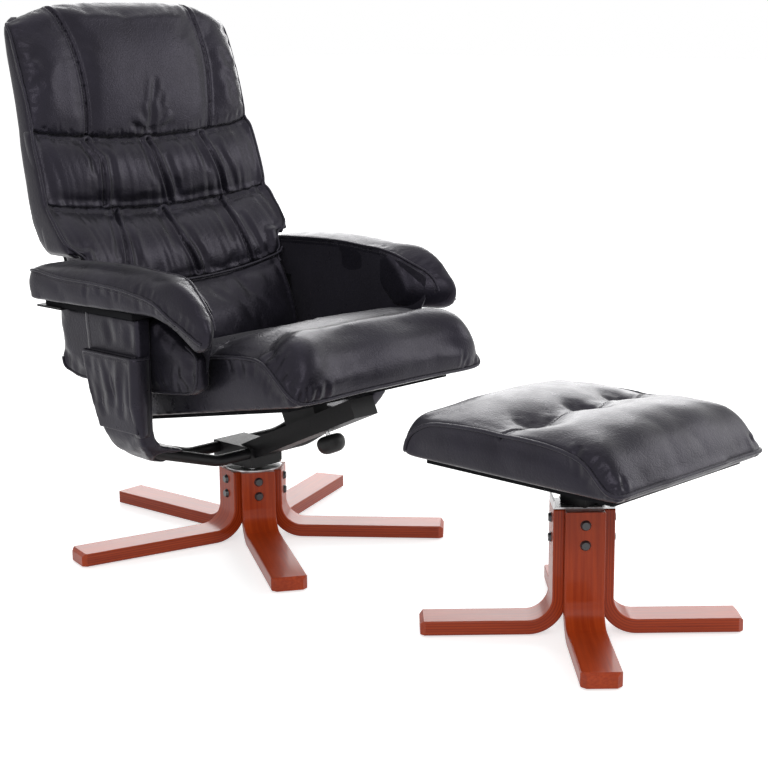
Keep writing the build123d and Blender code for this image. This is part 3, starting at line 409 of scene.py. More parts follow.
def dropLine(skin, points, way, start):
    # points seen along a direction, laid on the first surface that they meet
    line = []
    for point in points:
        origin = Vector(point) - Vector(way) * start
        hit = skin.ray_cast(origin, Vector(way))
        if hit[0] is not None:
            line.append(hit[0])
    return line


def fromAbove(skin, spots, step=None):
    # places along x and y in mm, laid on the surface from above; with a step they become a line
    spots = [chairSpot(x, y, 500) for x, y in spots]
    return dropLine(skin, throughPoints(spots, step) if step else spots, (0, 0, -1), 0.3)


def raised(laid, facing, height):
    return [spot + out * height for spot, out in zip(laid, facing)]


def farFrom(points, line):
    # distance to a line of points, and where along it, from 0 to 1
    line = np.array([tuple(p) for p in line])
    best = np.full(len(points), 1e9)
    where = np.zeros(len(points))
    lengths = np.linalg.norm(np.diff(line, axis=0), axis=1)
    total = max(lengths.sum(), 1e-9)
    run = 0.0
    for start, end, length in zip(line, line[1:], lengths):
        if length < 1e-9:
            continue
        way = (end - start) / length
        t = np.clip((points - start) @ way, 0, length)
        gap = np.linalg.norm(points - start - t[:, None] * way, axis=1)
        near = gap < best
        best[near] = gap[near]
        where[near] = (run + t[near]) / total
        run += length
    return best, where


def near(points, line, reach):
    line = np.array([tuple(p) for p in line])
    low, high = line.min(0) - reach, line.max(0) + reach
    return np.nonzero(((points > low) & (points < high)).all(1))[0]


def carve(obj, lines):
    # each line is a crease: its points, width and depth, and how much its lips stand up
    points, normals = readShape(obj)
    rise = np.zeros(len(points))
    for line, width, depth, lip, taper in lines:
        if len(line) < 2:
            continue
        chosen = near(points, line, width * 4)
        if not len(chosen):
            continue
        gap, where = farFrom(points[chosen], line)
        fade = np.clip(4 * where * (1 - where), 0, 1) ** 0.7 if taper else 1.0
        share = -np.exp(-(gap / width) ** 2) + lip * np.exp(-((gap - 1.9 * width) / width) ** 2)
        rise[chosen] += depth * fade * share
    writePoints(obj.data, points + normals * rise[:, None])


# spacing, reach, width and depth of the short creases along each kind of seam
gatherSizes = dict(headWing=(0.03, 0.05, 0.007, 0.0015), headFoot=(0.024, 0.022, 0.004, 0.0012),
                   lumbarTop=(0.06, 0.06, 0.011, 0.0013), rearSeam=(0.06, 0.05, 0.007, 0.001),
                   seatAhead=(0.034, 0.07, 0.0075, 0.0024), seatBehind=(0.034, 0.06, 0.0075, 0.0024),
                   seatCorner=(0.016, 0.046, 0.0055, 0.0022), seatFoot=(0.024, 0.036, 0.0055, 0.0014),
                   stoolCorner=(0.016, 0.05, 0.0058, 0.0024), stoolSide=(0.018, 0.026, 0.0042, 0.0012),
                   armFront=(0.017, 0.024, 0.0055, 0.0009), armUnder=(0.03, 0.024, 0.006, 0.001),
                   panelFront=(0.03, 0.06, 0.0085, 0.0018), panelFoot=(0.045, 0.05, 0.0085, 0.0014))


def gathers(skin, line, towards, kind, seed, start=0.0, end=1.0, lean=0.5):
    # short creases that run off a seam, uneven in length, place and depth
    spacing, reach, width, depth = gatherSizes[kind]
    draw = np.random.default_rng(seed)
    made = []
    total = sum((b - a).length for a, b in zip(line, line[1:]))
    run, goal = 0.0, start * total + draw.uniform(0.2, 1.0) * spacing
    for a, b in zip(line, line[1:]):
        run += (b - a).length
        if run < goal or run > end * total:
            continue
        goal = run + spacing * draw.uniform(0.45, 1.6)
        spot, facing = skin.find_nearest(b)[:2]
        along = (b - a).normalized()
        way = Vector(towards) - along * along.dot(Vector(towards))
        way -= facing * facing.dot(way)
        if way.length < 1e-6:
            continue
        way = (way.normalized() + along * draw.normal(0, lean * 0.5)).normalized()
        length = reach * draw.uniform(0.35, 1.25)
        bend = along * draw.normal(0, 0.1) * length
        trail = [spot]
        for number in range(1, 5):
            t = number / 4
            trail.append(skin.find_nearest(spot + way * length * t + bend * t * t)[0])
        size = draw.uniform(0.55, 1.2)
        made.append((trail, width * size, depth * size, 0.45, True))
    return made


def sunk(points, normals, gap, depth, width):
    return points - normals * (depth * np.exp(-(gap / width) ** 2))[:, None]


def star(skin, spot, arms, width, depth):
    # creases that run out of a tuft: each arm has an angle and the distances of its points
    made = []
    for angle, reaches in arms:
        way = Vector((math.cos(angle), math.sin(angle), 0))
        line = [skin.find_nearest(spot + way * reach)[0] for reach in reaches]
        made.append((line, width, depth, 0.5, True))
    return made


def lofted(name, rings):
    # a closed skin through rings that all have the same number of points
    made = bmesh.new()
    rows = [[made.verts.new(spot) for spot in ring] for ring in rings]
    for below, above in zip(rows, rows[1:]):
        for k in range(len(below)):
            n = (k + 1) % len(below)
            made.faces.new((below[k], below[n], above[n], above[k]))
    made.faces.new(rows[0])
    made.faces.new(rows[-1])
    bmesh.ops.recalc_face_normals(made, faces=made.faces)
    return asObject(name, made)


def refine(obj, levels=1):
    finer = obj.modifiers.new("finer", "SUBSURF")
    finer.levels = finer.render_levels = levels
    return bakeDown(obj)


def shadeSmooth(obj):
    obj.data.polygons.foreach_set("use_smooth", [True] * len(obj.data.polygons))


# swelling of the cushions
swellFrames = 20
swellSetup = dict(quality=4, mass=0.3, tension_stiffness=14, compression_stiffness=9, shear_stiffness=4,
                  bending_stiffness=0.35, use_pressure=True, vertex_group_mass="held")
waiting = []


def plump(obj, setup, held, facing):
    # held is 1 where the cover is sewn down or rests on something, facing is 1 on its show side
    points, normals = readShape(obj)
    held = np.clip(held, 0, 1)
    writePoints(obj.data, points - normals * (setup["shrink"] * (1 - held) * facing)[:, None])
    waiting.append((obj, setup, held))


def swellAll():
    # all cushions swell in the same frames, then each keeps its new shape
    for obj, setup, held in waiting:
        group = obj.vertex_groups.new(name="held")
        for level in (0.25, 0.5, 0.75, 1.0):
            chosen = np.nonzero((held > level - 0.125) & (held <= level + 0.125))[0]
            group.add([int(i) for i in chosen], level, "REPLACE")
        cloth = obj.modifiers.new("swell", "CLOTH")
        made = cloth.settings
        for key, value in swellSetup.items():
            setattr(made, key, value)
        made.uniform_pressure_force = setup["pressure"]
        made.shrink_min = -setup["spare"]
        made.effector_weights.gravity = 0
        cloth.collision_settings.use_collision = False
        cloth.point_cache.frame_start = 1
        cloth.point_cache.frame_end = swellFrames
    before = [readPoints(obj.data) for obj, _, _ in waiting]
    for number in range(1, swellFrames + 1):
        scene.frame_set(number)
    graph = bpy.context.evaluated_depsgraph_get()
    after = [readPoints(obj.evaluated_get(graph).data) for obj, _, _ in waiting]
    for (obj, setup, _), start, end in zip(waiting, before, after):
        obj.modifiers.clear()
        obj.vertex_groups.clear()
        move = end - start
        size = np.linalg.norm(move, axis=1)
        share = np.minimum(1, setup["cap"] / np.maximum(size, 1e-9))
        writePoints(obj.data, start + move * share[:, None])
        print("  swelled", obj.name, "by up to", round(float(size.max()) * 1000, 1), "mm")
    scene.frame_set(1)
    waiting.clear()


def faceOut(normals, way, low, high):
    return np.clip((normals @ np.array(way) - low) / (high - low), 0, 1)


def sewn(points, line, reach):
    gap, _ = farFrom(points, line)
    return np.clip(1.6 - gap / reach, 0, 1)


hands = {1: "left", -1: "right"}     # which way each side lies along x


# the back's cushions
backLook = dict(foot=290, rise=700, line=((0, 158), (0.117, 180.5), (0.479, 290.75), (1.0, 383)),
                voxel=0.005, soften=36, shrink=0.008, pressure=4.0, spare=0.012, cap=0.012,
                up=(0, 0.3, 0.954), ahead=(0, -0.954, 0.3), join=0.0038)
headLook = {**backLook, "shrink": 0.001, "cap": 0.004}


def mirrored(rows):
    # rows from the middle out to one side, and the same rows on the other side before them
    return [(-x, *rest) for x, *rest in reversed(rows[1:])] + list(rows)


def backSpot(x, share, forward):
    # a point of the back: across, up as a share of its rise, and forward of the board in mm
    for (low, first), (high, last) in zip(backLook["line"], backLook["line"][1:]):
        if share <= high or high == 1.0:
            depth = first + (last - first) * (share - low) / (high - low)
            break
    return chairSpot(x, depth - forward, backLook["foot"] + backLook["rise"] * share)


# each cushion's name and node, and how full it is
backRows = (("headCushion", "head_pad", 0.75), ("upperBand", "upper_band", 0.7),
            ("lowerBand", "lower_band", 0.7), ("lumbarCushion", "lumbar_pad", 0.85))
backParts = {name: softCopy(name, [node], backLook) for name, node, _ in backRows}
print("back cushions started")

edgeLines = {}
for side in hands:
    edgeLines[side] = throughPoints(
        [backSpot(side * x, share, forward) for x, share, forward in (
            (245, 0.315, 80), (246, 0.345, 82), (250, 0.378, 80), (266, 0.4, 77), (281, 0.425, 73),
            (284, 0.47, 62), (284, 0.53, 42), (282, 0.58, 40), (281, 0.63, 37), (279, 0.68, 33),
            (275, 0.7264, 29), (272, 0.8, 27), (271, 0.864, 24), (271, 0.93, 19), (270, 0.99, 12),
            (268, 1.012, 4), (262, 1.012, -8))])
topEdge = [backSpot(x, share, -13) for x, share in mirrored(
    ((0, 1.068), (-100, 1.062), (-180, 1.048), (-235, 1.032)))]
backRim = throughPoints(edgeLines[1][::3] + topEdge + edgeLines[-1][::-1][::3])
headSeams = {side: list(zip(xs, (1032, 1005, 970, 919, 871, 810, 776))) for side, xs in (
    (-1, (-182, -171, -158, -149, -146, -147, -149)), (1, (161, 166, 173, 176, 173, 166, 163)))}

seamSags = dict(headLow=mirrored(((0, 774), (122, 778), (218, 787), (272, 798.5))),
                upperLow=mirrored(((0, 634), (127, 640), (226, 650), (282, 661))),
                lowerLow=mirrored(((0, 494), (128, 501), (228, 522), (246, 535))))


def frontLine(skin, points, step=lineStep):
    return dropLine(skin, throughPoints([(x / 1000, 0, z / 1000) for x, z in points], step),
                    (0, 1, 0), 1.0)


pleats = dict(
    upperBand=(((-150, 772), (-146, 755), (-137, 740), (-139, 707), (-136, 650)),
               ((-2, 766), (-1, 740), (4, 710), (14, 680), (30, 640)),
               ((138, 772), (139, 750), (146, 725), (158, 695), (174, 650))),
    lowerBand=(((-113, 636), (-126, 612), (-136, 580), (-141, 550), (-146, 512)),
               ((8, 628), (4, 600), (8, 570), (18, 545), (31, 506)),
               ((158, 640), (156, 612), (157, 586), (163, 555), (172, 512))))
for name, obj in backParts.items():
    points, normals = readShape(obj)
    skin = skinOf(obj)
    lines = []
    if name == "headCushion":
        lines = [frontLine(skin, headSeams[side]) for side in hands]
    if name in pleats:
        lines = [frontLine(skin, pleat) for pleat in pleats[name]]
    held = faceOut(normals, (0, 1, 0), 0.1, 0.5)
    x = np.abs(points[:, 0])
    held = np.maximum(held, np.clip((np.abs(normals[:, 0]) - 0.75) / 0.15, 0, 1))
    # the faces in the seams between two cushions stay, and meet
    upward = normals @ np.array(backLook["up"])
    seamFace = np.clip((np.abs(upward) - 0.72) / 0.15, 0, 1)
    if name == "headCushion":
        seamFace *= upward < 0
    points += normals * (backLook["join"] * seamFace)[:, None]
    held = np.maximum(held, seamFace)
    facing = faceOut(normals, backLook["ahead"], 0.1, 0.6)
    if name in ("lowerBand", "lumbarCushion"):
        held = np.maximum(held, ((points[:, 2] < 0.578) & (x > 0.225)).astype(float))
    if name != "lumbarCushion":
        for side in hands:
            held = np.maximum(held, sewn(points, edgeLines[side], 0.01))
    for line in lines:
        gap, where = farFrom(points, line)
        points = sunk(points, normals, gap, 0.0055, 0.011)
        held = np.maximum(held, np.clip(1.5 - gap / 0.005, 0, 1))
    writePoints(obj.data, points)
    plump(obj, headLook if name == "headCushion" else backLook, held, facing)
print("back cushions shaped")


# the seat cushion
seatLook = dict(voxel=0.006, soften=30, shrink=0.007, pressure=4.0, spare=0.003, cap=0.009)
seatCushion = softCopy("seatCushion", ["seat_cushion"], seatLook)
seatEdge = ((-240, 60, 372), (-246, -30, 396), (-247, -110, 410), (-246, -184, 418), (-246, -251, 426),
            (-245, -290, 428), (-245, -307, 422), (-245, -328, 409), (-245, -352, 390), (-244, -374, 372),
            (-234, -389, 361), (-212, -392, 356))
seatLoop = [chairSpot(*p) for p in seatEdge] + [chairSpot(0, -396, 358)]
seatLoop += [chairSpot(-x, y, z) for x, y, z in reversed(seatEdge)]
seatLoop = throughPoints(seatLoop)
seatSeamSpots = ((-238, -146), (-130, -152), (-45, -148), (50, -152), (140, -148), (238, -146))
seatTufts = ((-130, -150), (-45, -150), (50, -150), (140, -150))
points, normals = readShape(seatCushion)
# the front roll rounds off towards its two ends
roll = (np.clip((np.abs(points[:, 0]) - 0.175) / 0.07, 0, 1) ** 2
        * np.clip((0.124 - points[:, 1]) / 0.09, 0, 1))
points -= normals * (0.01 * roll * faceOut(normals, (0, 0, 1), 0.1, 0.6))[:, None]
writePoints(seatCushion.data, points)
seatSkin = skinOf(seatCushion)
seatSeam = fromAbove(seatSkin, seatSeamSpots, lineStep)
gap, where = farFrom(points, seatSeam)
points = sunk(points, normals, gap, 0.007, 0.016)
tuftSpots = fromAbove(seatSkin, seatTufts)
for spot in tuftSpots:
    gapTuft = np.linalg.norm(points - np.array(spot), axis=1)
    points = sunk(points, normals, gapTuft, 0.01, 0.02)
writePoints(seatCushion.data, points)
seatHeld = np.maximum(faceOut(normals, (0, 0, -1), 0.1, 0.5), np.clip(1.4 - gap / 0.007, 0, 1))
seatHeld = np.maximum(seatHeld, sewn(points, seatLoop, 0.01))
plump(seatCushion, seatLook, seatHeld, 1.0)
print("seat cushion shaped")


# the footstool's cushion
stoolLook = dict(voxel=0.006, soften=30, shrink=0.006, pressure=3.6, spare=0.004, cap=0.009)
stoolCushion = softCopy("stoolCushion", ["stool_cushion"], stoolLook)
stoolEdge = ((-194, -594, 308), (-194, -596, 318), (-194, -603, 331), (-194, -617, 345), (-194, -635, 355),
             (-194, -665, 365), (-194, -761, 371), (-194, -823, 371), (-194, -882, 369), (-194, -921, 365),
             (-194, -950, 359), (-194, -969, 351), (-194, -982, 340), (-194, -994, 327),
             (-194, -1005, 316), (-193, -1018, 310), (-186, -1032, 310), (-145, -1035, 312))
stoolLoop = [chairSpot(*p) for p in stoolEdge] + [chairSpot(5, -1036, 313)]
stoolLoop += [chairSpot(10 - x, y, z) for x, y, z in reversed(stoolEdge)] + [chairSpot(5, -590, 308)]
stoolLoop = throughPoints(stoolLoop, closed=True)
stoolSkin = skinOf(stoolCushion)
stoolSeam = fromAbove(stoolSkin, ((-192, -800), (-118, -818), (5, -825), (123, -818), (202, -800)), lineStep)
stoolTufts = fromAbove(stoolSkin, ((-118, -818), (5, -825), (123, -818)))
points, normals = readShape(stoolCushion)
# its front stands out in a round belly between the two sides
belly = (np.exp(-((points[:, 1] + 0.668) / 0.042) ** 2)
         * (1 - np.clip(np.abs(points[:, 0] - stoolAxis[0]) / 0.2, 0, 1) ** 6))
points += normals * (0.013 * belly * faceOut(normals, (0, -0.5, 0.87), 0.0, 0.5))[:, None]
gap, where = farFrom(points, stoolSeam)
points = sunk(points, normals, gap, 0.002, 0.01)
stoolHeld = np.maximum(faceOut(normals, (0, 0, -1), 0.1, 0.5), 0.7 * np.clip(1.4 - gap / 0.006, 0, 1))
for spot in stoolTufts:
    gapTuft = np.linalg.norm(points - np.array(spot), axis=1)
    points = sunk(points, normals, gapTuft, 0.012, 0.03)
    stoolHeld = np.maximum(stoolHeld, np.clip(1.5 - gapTuft / 0.008, 0, 1))
writePoints(stoolCushion.data, points)
stoolHeld = np.maximum(stoolHeld, sewn(points, stoolLoop, 0.01))
plump(stoolCushion, stoolLook, stoolHeld, 1.0)
print("footstool cushion shaped")


# arm pads, side panels, sleeves and pockets
armLook = dict(voxel=0.005, soften=30, shrink=0.003, pressure=3.2, spare=0.003, cap=0.008)
panelLook = dict(voxel=0.0045, soften=3, shrink=0.004, pressure=3.0, spare=0.01, cap=0.006)
sleeveLook = dict(voxel=0.0042, soften=3)
pocketLook = dict(voxel=0.0015, soften=2)
armOuter = ((359, 214, 552), (359, 190, 550), (355, 121, 542), (349, 37, 540), (343, -43, 535),
            (337, -121, 522), (335, -145, 510), (334, -170, 495), (332, -195, 484), (330, -219, 471),
            (328, -244, 458))
armInner = ((250, 215, 556), (250, 125, 559), (250, 33, 562), (251, -25, 561), (250, -110, 556),
            (257, -159, 548), (265, -191, 534), (275, -218, 518), (277, -236, 500), (274, -246, 478))
panelEdge = ((286, 222, 372), (286, 214, 345), (286, 190, 339), (286, 60, 339), (286, -20, 339),
             (286, -100, 342), (286, -150, 349), (286, -172, 360), (286, -179, 380), (286, -179, 430),
             (286, -150, 465))
armPads, armPanels, armSleeves, armPockets = {}, {}, {}, {}
armLines = {}
for side, hand in hands.items():
    pad = softCopy(hand + "ArmPad", ["arm_pad_" + hand], armLook)
    lines = [throughPoints([chairSpot(side * x, y, z) for x, y, z in row])
             for row in (armOuter, armInner)]
    points, normals = readShape(pad)
    held = faceOut(normals, (0, 0, -1), 0.3, 0.7)
    for line in lines:
        held = np.maximum(held, sewn(points, line, 0.008))
    # the inner side stays clear of the back while it swings
    held = np.maximum(held, (np.abs(points[:, 0]) < 0.2525).astype(float))
    plump(pad, armLook, held, 1.0)
    armPads[side], armLines[side] = pad, lines
    panel = softCopy(hand + "SidePanel", ["arm_panel_" + hand], panelLook)
    points, normals = readShape(panel)
    edge = throughPoints([chairSpot(side * x, y, z) for x, y, z in panelEdge])
    # its inner top edge reaches up behind the arm pad
    points[:, 2] += 0.013 * np.clip((points[:, 2] - 0.45) / 0.02, 0, 1) * (np.abs(points[:, 0]) < 0.2635)
    writePoints(panel.data, points)
    held = np.maximum(sewn(points, edge, 0.008), (np.abs(points[:, 0]) < 0.2535).astype(float))
    plump(panel, panelLook, held, np.clip((np.abs(normals[:, 0]) - 0.4) / 0.3, 0, 1))
    armPanels[side] = (panel, edge)
    armSleeves[side] = softCopy(hand + "ArmSleeve", ["arm_sleeve_" + hand], sleeveLook)
    armPockets[side] = softCopy(hand + "Pocket", ["arm_pocket_" + hand], pocketLook)
print("arms shaped")

swellAll()
print("cushions swelled")


# folds, gathers and seams after the swelling
def finishSoft(obj, rounds=1, fine=True):
    writePoints(obj.data, evenOut(obj.data, readPoints(obj.data), rounds))
    if fine:
        refine(obj)
    return skinOf(obj)


pipings = {}      # body name: lines of piping, each with its radius
stitchings = {}   # body name: lines of stitches


def offsetLine(skin, line, towards, distance):
    # a line on the surface beside another one
    moved = []
    for before, here, after in zip([line[0], *line[:-1]], line, [*line[1:], line[-1]]):
        spot, facing = skin.find_nearest(here)[:2]
        along = (after - before).normalized()
        way = along.cross(facing)
        if way.dot(Vector(towards)) < 0:
            way = -way
        if way.length > 1e-6:
            found, out = skin.find_nearest(spot + way.normalized() * distance)[:2]
            moved.append(found + out * 0.0003)
    return moved


backSkin = {name: finishSoft(obj, 4) for name, obj in backParts.items()}
head, headSkin = backParts["headCushion"], backSkin["headCushion"]
headLines = {side: frontLine(headSkin, headSeams[side], 0.004) for side in hands}
headCreases = []
for side in hands:
    headCreases.append((headLines[side], 0.0034, 0.0052, 0.4, False))
    edge = [p for p in edgeLines[side] if p.z > 0.8]
    headCreases += gathers(headSkin, edge, (-side, 0, 0.75), "headWing",
                           11 + side, 0.05, 0.92)
headFoot = frontLine(headSkin, [(x, z + 4) for x, z in seamSags["headLow"]])
headCreases += gathers(headSkin, headFoot, (0, 0, 1), "headFoot", 21)
# width, depth and places of the head cushion's folds, over its foot seam and at its two ends
headFolds = (
    (0.0075, 0.0026, (((1, 780), (6, 810), (14, 846), (26, 894)), ((3, 780), (14, 806), (26, 834), (36, 866)),
                      ((1, 780), (4, 800), (6, 820), (4, 846)), ((-2, 780), (-8, 800), (-13, 826)),
                      ((5, 780), (24, 800), (43, 830)), ((-3, 779), (-26, 792), (-52, 803)),
                      ((7, 779), (34, 790), (66, 800)))),
    (0.011, 0.0022, (((-246, 925), (-238, 940), (-228, 956)), ((-238, 905), (-226, 925), (-212, 946)),
                      ((-250, 880), (-243, 893), (-233, 905)), ((224, 948), (230, 925), (240, 900)),
                      ((214, 905), (224, 885), (240, 862)), ((222, 870), (232, 850), (246, 830)))))
for width, depth, rows in headFolds:
    for row in rows:
        headCreases.append((frontLine(headSkin, row, 0.01), width, depth, 0.5, True))
carve(head, headCreases)
stitchings["back"] = [offsetLine(headSkin, headLines[side], (side, 0, 0), 0.0045)
                      for side in hands]

# folds: width and depth; waves: length and size of the changes in their spacing; then how the folds
# fade from the foot seam and the top seam
rucheLook = dict(folds=((0.041, 0.0034), (0.019, 0.0013)), waves=((0.11, 0.2), (0.047, 0.07)),
                 footFade=0.38, topFade=0.18, topShare=0.7, rest=0.1)


def ruche(obj, topLine, footLine, look, seed):
    draw = np.random.default_rng(seed)
    points, normals = readShape(obj)
    x = points[:, 0]
    high, low = [np.interp(x, [p.x for p in line], [p.z for p in line]) for line in (topLine, footLine)]
    share = np.clip((points[:, 2] - low) / np.maximum(high - low, 0.01), 0, 1)
    rise = np.zeros(len(x))
    for width, depth in look["folds"]:
        where = x + draw.uniform(0.1, 0.22) * (share - 0.5) * 0.13
        count = where / width
        for wave, size in look["waves"]:
            count = count + size * np.sin(2 * np.pi * where / wave + draw.uniform(0, 6.3)
                                          + share * draw.uniform(-1.6, 1.6))
        fold = np.abs(np.sin(np.pi * count)) - 0.62
        strength = np.clip(0.6 + 0.6 * np.sin(2 * np.pi * x / 0.17 + draw.uniform(0, 6.3))
                           * np.sin(2 * np.pi * x / 0.073 + draw.uniform(0, 6.3)), 0.2, 1)
        fade = (np.exp(-share / look["footFade"]) + look["topShare"] * np.exp(-(1 - share) / look["topFade"])
                + look["rest"])
        rise += depth * fold * strength * fade
    facing = faceOut(normals, backLook["ahead"], 0.15, 0.6)
    writePoints(obj.data, points + normals * (rise * facing)[:, None])


for name, topSeam, footSeam, seed in (("upperBand", "headLow", "upperLow", 31),
                                      ("lowerBand", "upperLow", "lowerLow", 47)):
    skin = backSkin[name]
    top = frontLine(skin, [(x, z - 5) for x, z in seamSags[topSeam]])
    foot = frontLine(skin, [(x, z + 5) for x, z in seamSags[footSeam]])
    ruche(backParts[name], top, foot, rucheLook, seed)
    skin = skinOf(backParts[name])
    creases = []
    for number, pleat in enumerate(pleats[name]):
        line = frontLine(skin, pleat)
        creases.append((line, 0.0046, 0.0078, 0.45, False))
        for turn in (-1, 1):
            beside = [(x + turn * (17 + 3 * number + 2 * step), z) for step, (x, z) in enumerate(pleat)]
            creases.append((frontLine(skin, beside[1 if turn > 0 else 0:5 if turn > 0 else 4]),
                            0.007, 0.003, 0.5, True))
    carve(backParts[name], creases)
    backSkin[name] = skinOf(backParts[name])
    stitchings["back"] += [[p + Vector((0, -0.0004, 0)) for p in frontLine(
        backSkin[name], [(x, z - 9) for x, z in seamSags[topSeam]], 0.004)]]
lumbarTop = frontLine(backSkin["lumbarCushion"], [(x * 0.95, z - 9) for x, z in seamSags["lowerLow"]])
carve(backParts["lumbarCushion"],
      gathers(backSkin["lumbarCushion"], lumbarTop, (0, 0, -1), "lumbarTop", 71, 0.05, 0.95))
print("back cushions creased")

wholeBack = bmesh.new()
for obj in backParts.values():
    wholeBack.from_mesh(obj.data)
backTree = BVHTree.FromBMesh(wholeBack)
wholeBack.free()
pipings["back"] = []
laid, facing = onSkin(backTree, backRim, 6)
pipings["back"].append((raised(laid, facing, 0.0012), 0.003))
lowerFoot = throughPoints([backSpot(*row) for row in mirrored(
    ((0, 0.291, 53), (128, 0.302, 58), (228, 0.331, 74), (245, 0.35, 79)))])
pipings["back"].append(([p + Vector((0, -0.0015, 0.0005)) for p in lowerFoot], 0.0028))

seatSkin = finishSoft(seatCushion, 7)
seatLaid, seatFacing = onSkin(seatSkin, seatLoop, 5)
pipings["seat"] = [(raised(seatLaid, seatFacing, 0.0012), 0.0032)]
seatSeamFine = onSkin(seatSkin, seatSeam, 1)[0]
seatCreases = [(seatSeamFine, 0.0034, 0.0045, 0.4, False)]
seatCreases += gathers(seatSkin, seatSeamFine, (0, -1, 0), "seatAhead", 81, 0.02, 0.98, 0.9)
seatCreases += gathers(seatSkin, seatSeamFine, (0, 1, 0), "seatBehind", 82, 0.02, 0.98, 0.9)
for number, spot in enumerate(tuftSpots):
    arms = [(0.35 + turn * 1.26 + number, (0.004, 0.02, 0.04, 0.055 + 0.01 * (turn % 3)))
            for turn in range(5)]
    seatCreases += star(seatSkin, spot, arms, 0.008, 0.0032)
half = len(seatLaid) // 2
for part, seed in ((seatLaid[:half], 85), (seatLaid[half:][::-1], 86)):
    side = 1 if part[0].x < 0 else -1
    seatCreases += gathers(seatSkin, part, (side, -0.2, 0.6), "seatCorner", seed, 0.52, 0.76)
    seatCreases += gathers(seatSkin, part, (0, 0.3, -1), "seatFoot", seed + 8, 0.36, 0.74)
carve(seatCushion, seatCreases)
print("seat creased")

stoolSkin = finishSoft(stoolCushion, 6)
stoolLaid, stoolFacing = onSkin(stoolSkin, stoolLoop, 4, closed=True)
stoolLaid.append(stoolLaid[0])
stoolFacing.append(stoolFacing[0])
pipings["stool_top"] = [(raised(stoolLaid, stoolFacing, 0.0012), 0.0034)]
stoolSeamFine = onSkin(stoolSkin, stoolSeam, 1)[0]
stoolCreases = [(stoolSeamFine, 0.003, 0.003, 0.35, False)]
starArms = ((0.1, 0.056), (0.95, 0.03), (1.7, 0.046), (3.0, 0.054), (4.0, 0.032), (4.75, 0.046))
for number, spot in enumerate(stoolTufts):
    arms = [(angle + 0.12 * number, (0.003, reach * 0.4, reach * 0.7, reach)) for angle, reach in starArms]
    stoolCreases += star(stoolSkin, spot, arms, 0.0085, 0.0026)
for part, side, seed in (([p for p in stoolLaid if p.x < stoolAxis[0]], 1, 91),
                         ([p for p in stoolLaid if p.x > stoolAxis[0]], -1, 94)):
    corner = sorted([p for p in part if p.y < -0.61 and abs(p.x - stoolAxis[0]) > 0.17],
                    key=lambda p: -p.y + p.z * 0.01)
    stoolCreases += gathers(stoolSkin, corner, (side, 0.15, 0.7), "stoolCorner", seed, 0.15, 1.0)
    stoolCreases += gathers(stoolSkin, corner, (side * 0.1, 0.3, -0.9), "stoolSide", seed + 2)
carve(stoolCushion, stoolCreases)
stitchings["stool_top"] = [offsetLine(stoolSkin, stoolSeamFine, (0, way, 0), 0.005) for way in (1, -1)]
print("footstool creased")

# folds, stitches and hem of the sleeves and pockets, as places along y and z seen from the side
sleeveFolds = (((-40, 470), (-38, 445), (-42, 425)), ((30, 474), (20, 450), (14, 424)),
               ((-56, 300), (-40, 270), (-20, 245)), ((-30, 262), (0, 240), (28, 232)),
               ((-52, 240), (-30, 222), (0, 214)), ((-58, 350), (-55, 320), (-50, 290)))
pocketFolds = (((-36, 404), (-30, 370), (-22, 330), (-20, 290)), ((2, 402), (4, 360), (0, 310)),
               ((24, 404), (18, 375), (14, 340)), ((-48, 398), (-46, 360), (-42, 320)),
               ((44, 400), (38, 365), (30, 318)), ((66, 404), (58, 370), (44, 330), (30, 290)),
               ((76, 380), (68, 345), (56, 310)))
sleeveStitches = (((-52, 474), (-52, 236)), ((84, 474), (78, 418)))
pocketHem = ((-55, 409), (-30, 409), (10, 409), (50, 409), (84, 409))
hemWrap = ((302, -65), (314, -66), (324, -65), (331, -62))


def sideLine(skin, side, spots, step=lineStep):
    return dropLine(skin, throughPoints([chairSpot(side * 500, y, z) for y, z in spots], step),
                    (-side, 0, 0), 0.0)


frameTrims, frameStitches = [], []
pipings["chair_frame"], stitchings["chair_frame"] = frameTrims, frameStitches
for side in hands:
    pad = armPads[side]
    skin = finishSoft(pad, 4)
    creases = []
    for number, line in enumerate(armLines[side]):
        laid, facing = onSkin(skin, line, 5)
        frameTrims.append((raised(laid, facing, 0.001), 0.0028))
        inward = -side if number == 0 else side
        seed = 100 + 20 * number + 3 * side
        creases += gathers(skin, laid, (inward, -0.1, 0.4), "armFront", seed, 0.6, 0.97)
        creases += gathers(skin, laid, (-inward * 0.3, 0.2, -1), "armUnder", seed + 2, 0.3, 0.95)
        frameStitches.append(offsetLine(skin, laid, (0, 0, -1), 0.0075))
    carve(pad, creases)
    panel, edge = armPanels[side]
    skin = finishSoft(panel, 3)
    laid, facing = onSkin(skin, edge, 4)
    frameTrims.append((raised(laid, facing, 0.0008), 0.0026))
    creases = gathers(skin, laid, (0, 0.3, 1), "panelFront", 131 + side, 0.45, 0.95)
    creases += gathers(skin, laid, (0, 0, 1), "panelFoot", 135 + side, 0.02, 0.5)
    carve(panel, creases)
    sleeve = armSleeves[side]
    skin = finishSoft(sleeve)
    carve(sleeve, [(sideLine(skin, side, fold, 0.008), 0.01, 0.0022, 0.4, True) for fold in sleeveFolds])
    for ends in sleeveStitches:
        frameStitches.append([p + Vector((side * 0.0003, 0, 0)) for p in sideLine(skin, side, ends)])
    pocket = armPockets[side]
    skin = finishSoft(pocket, fine=False)
    carve(pocket, [(sideLine(skin, side, fold, 0.008), 0.0085, 0.0026, 0.5, True) for fold in pocketFolds])
    skin = skinOf(pocket)
    hem = throughPoints([chairSpot(side * x, y, pocketHem[0][1]) for x, y in hemWrap], 0.004)
    hem += sideLine(skin, side, pocketHem)
    frameTrims.append((hem, 0.0022))
    frameStitches.append(offsetLine(skin, hem, (0, 0, -1), 0.007))
print("arms creased")


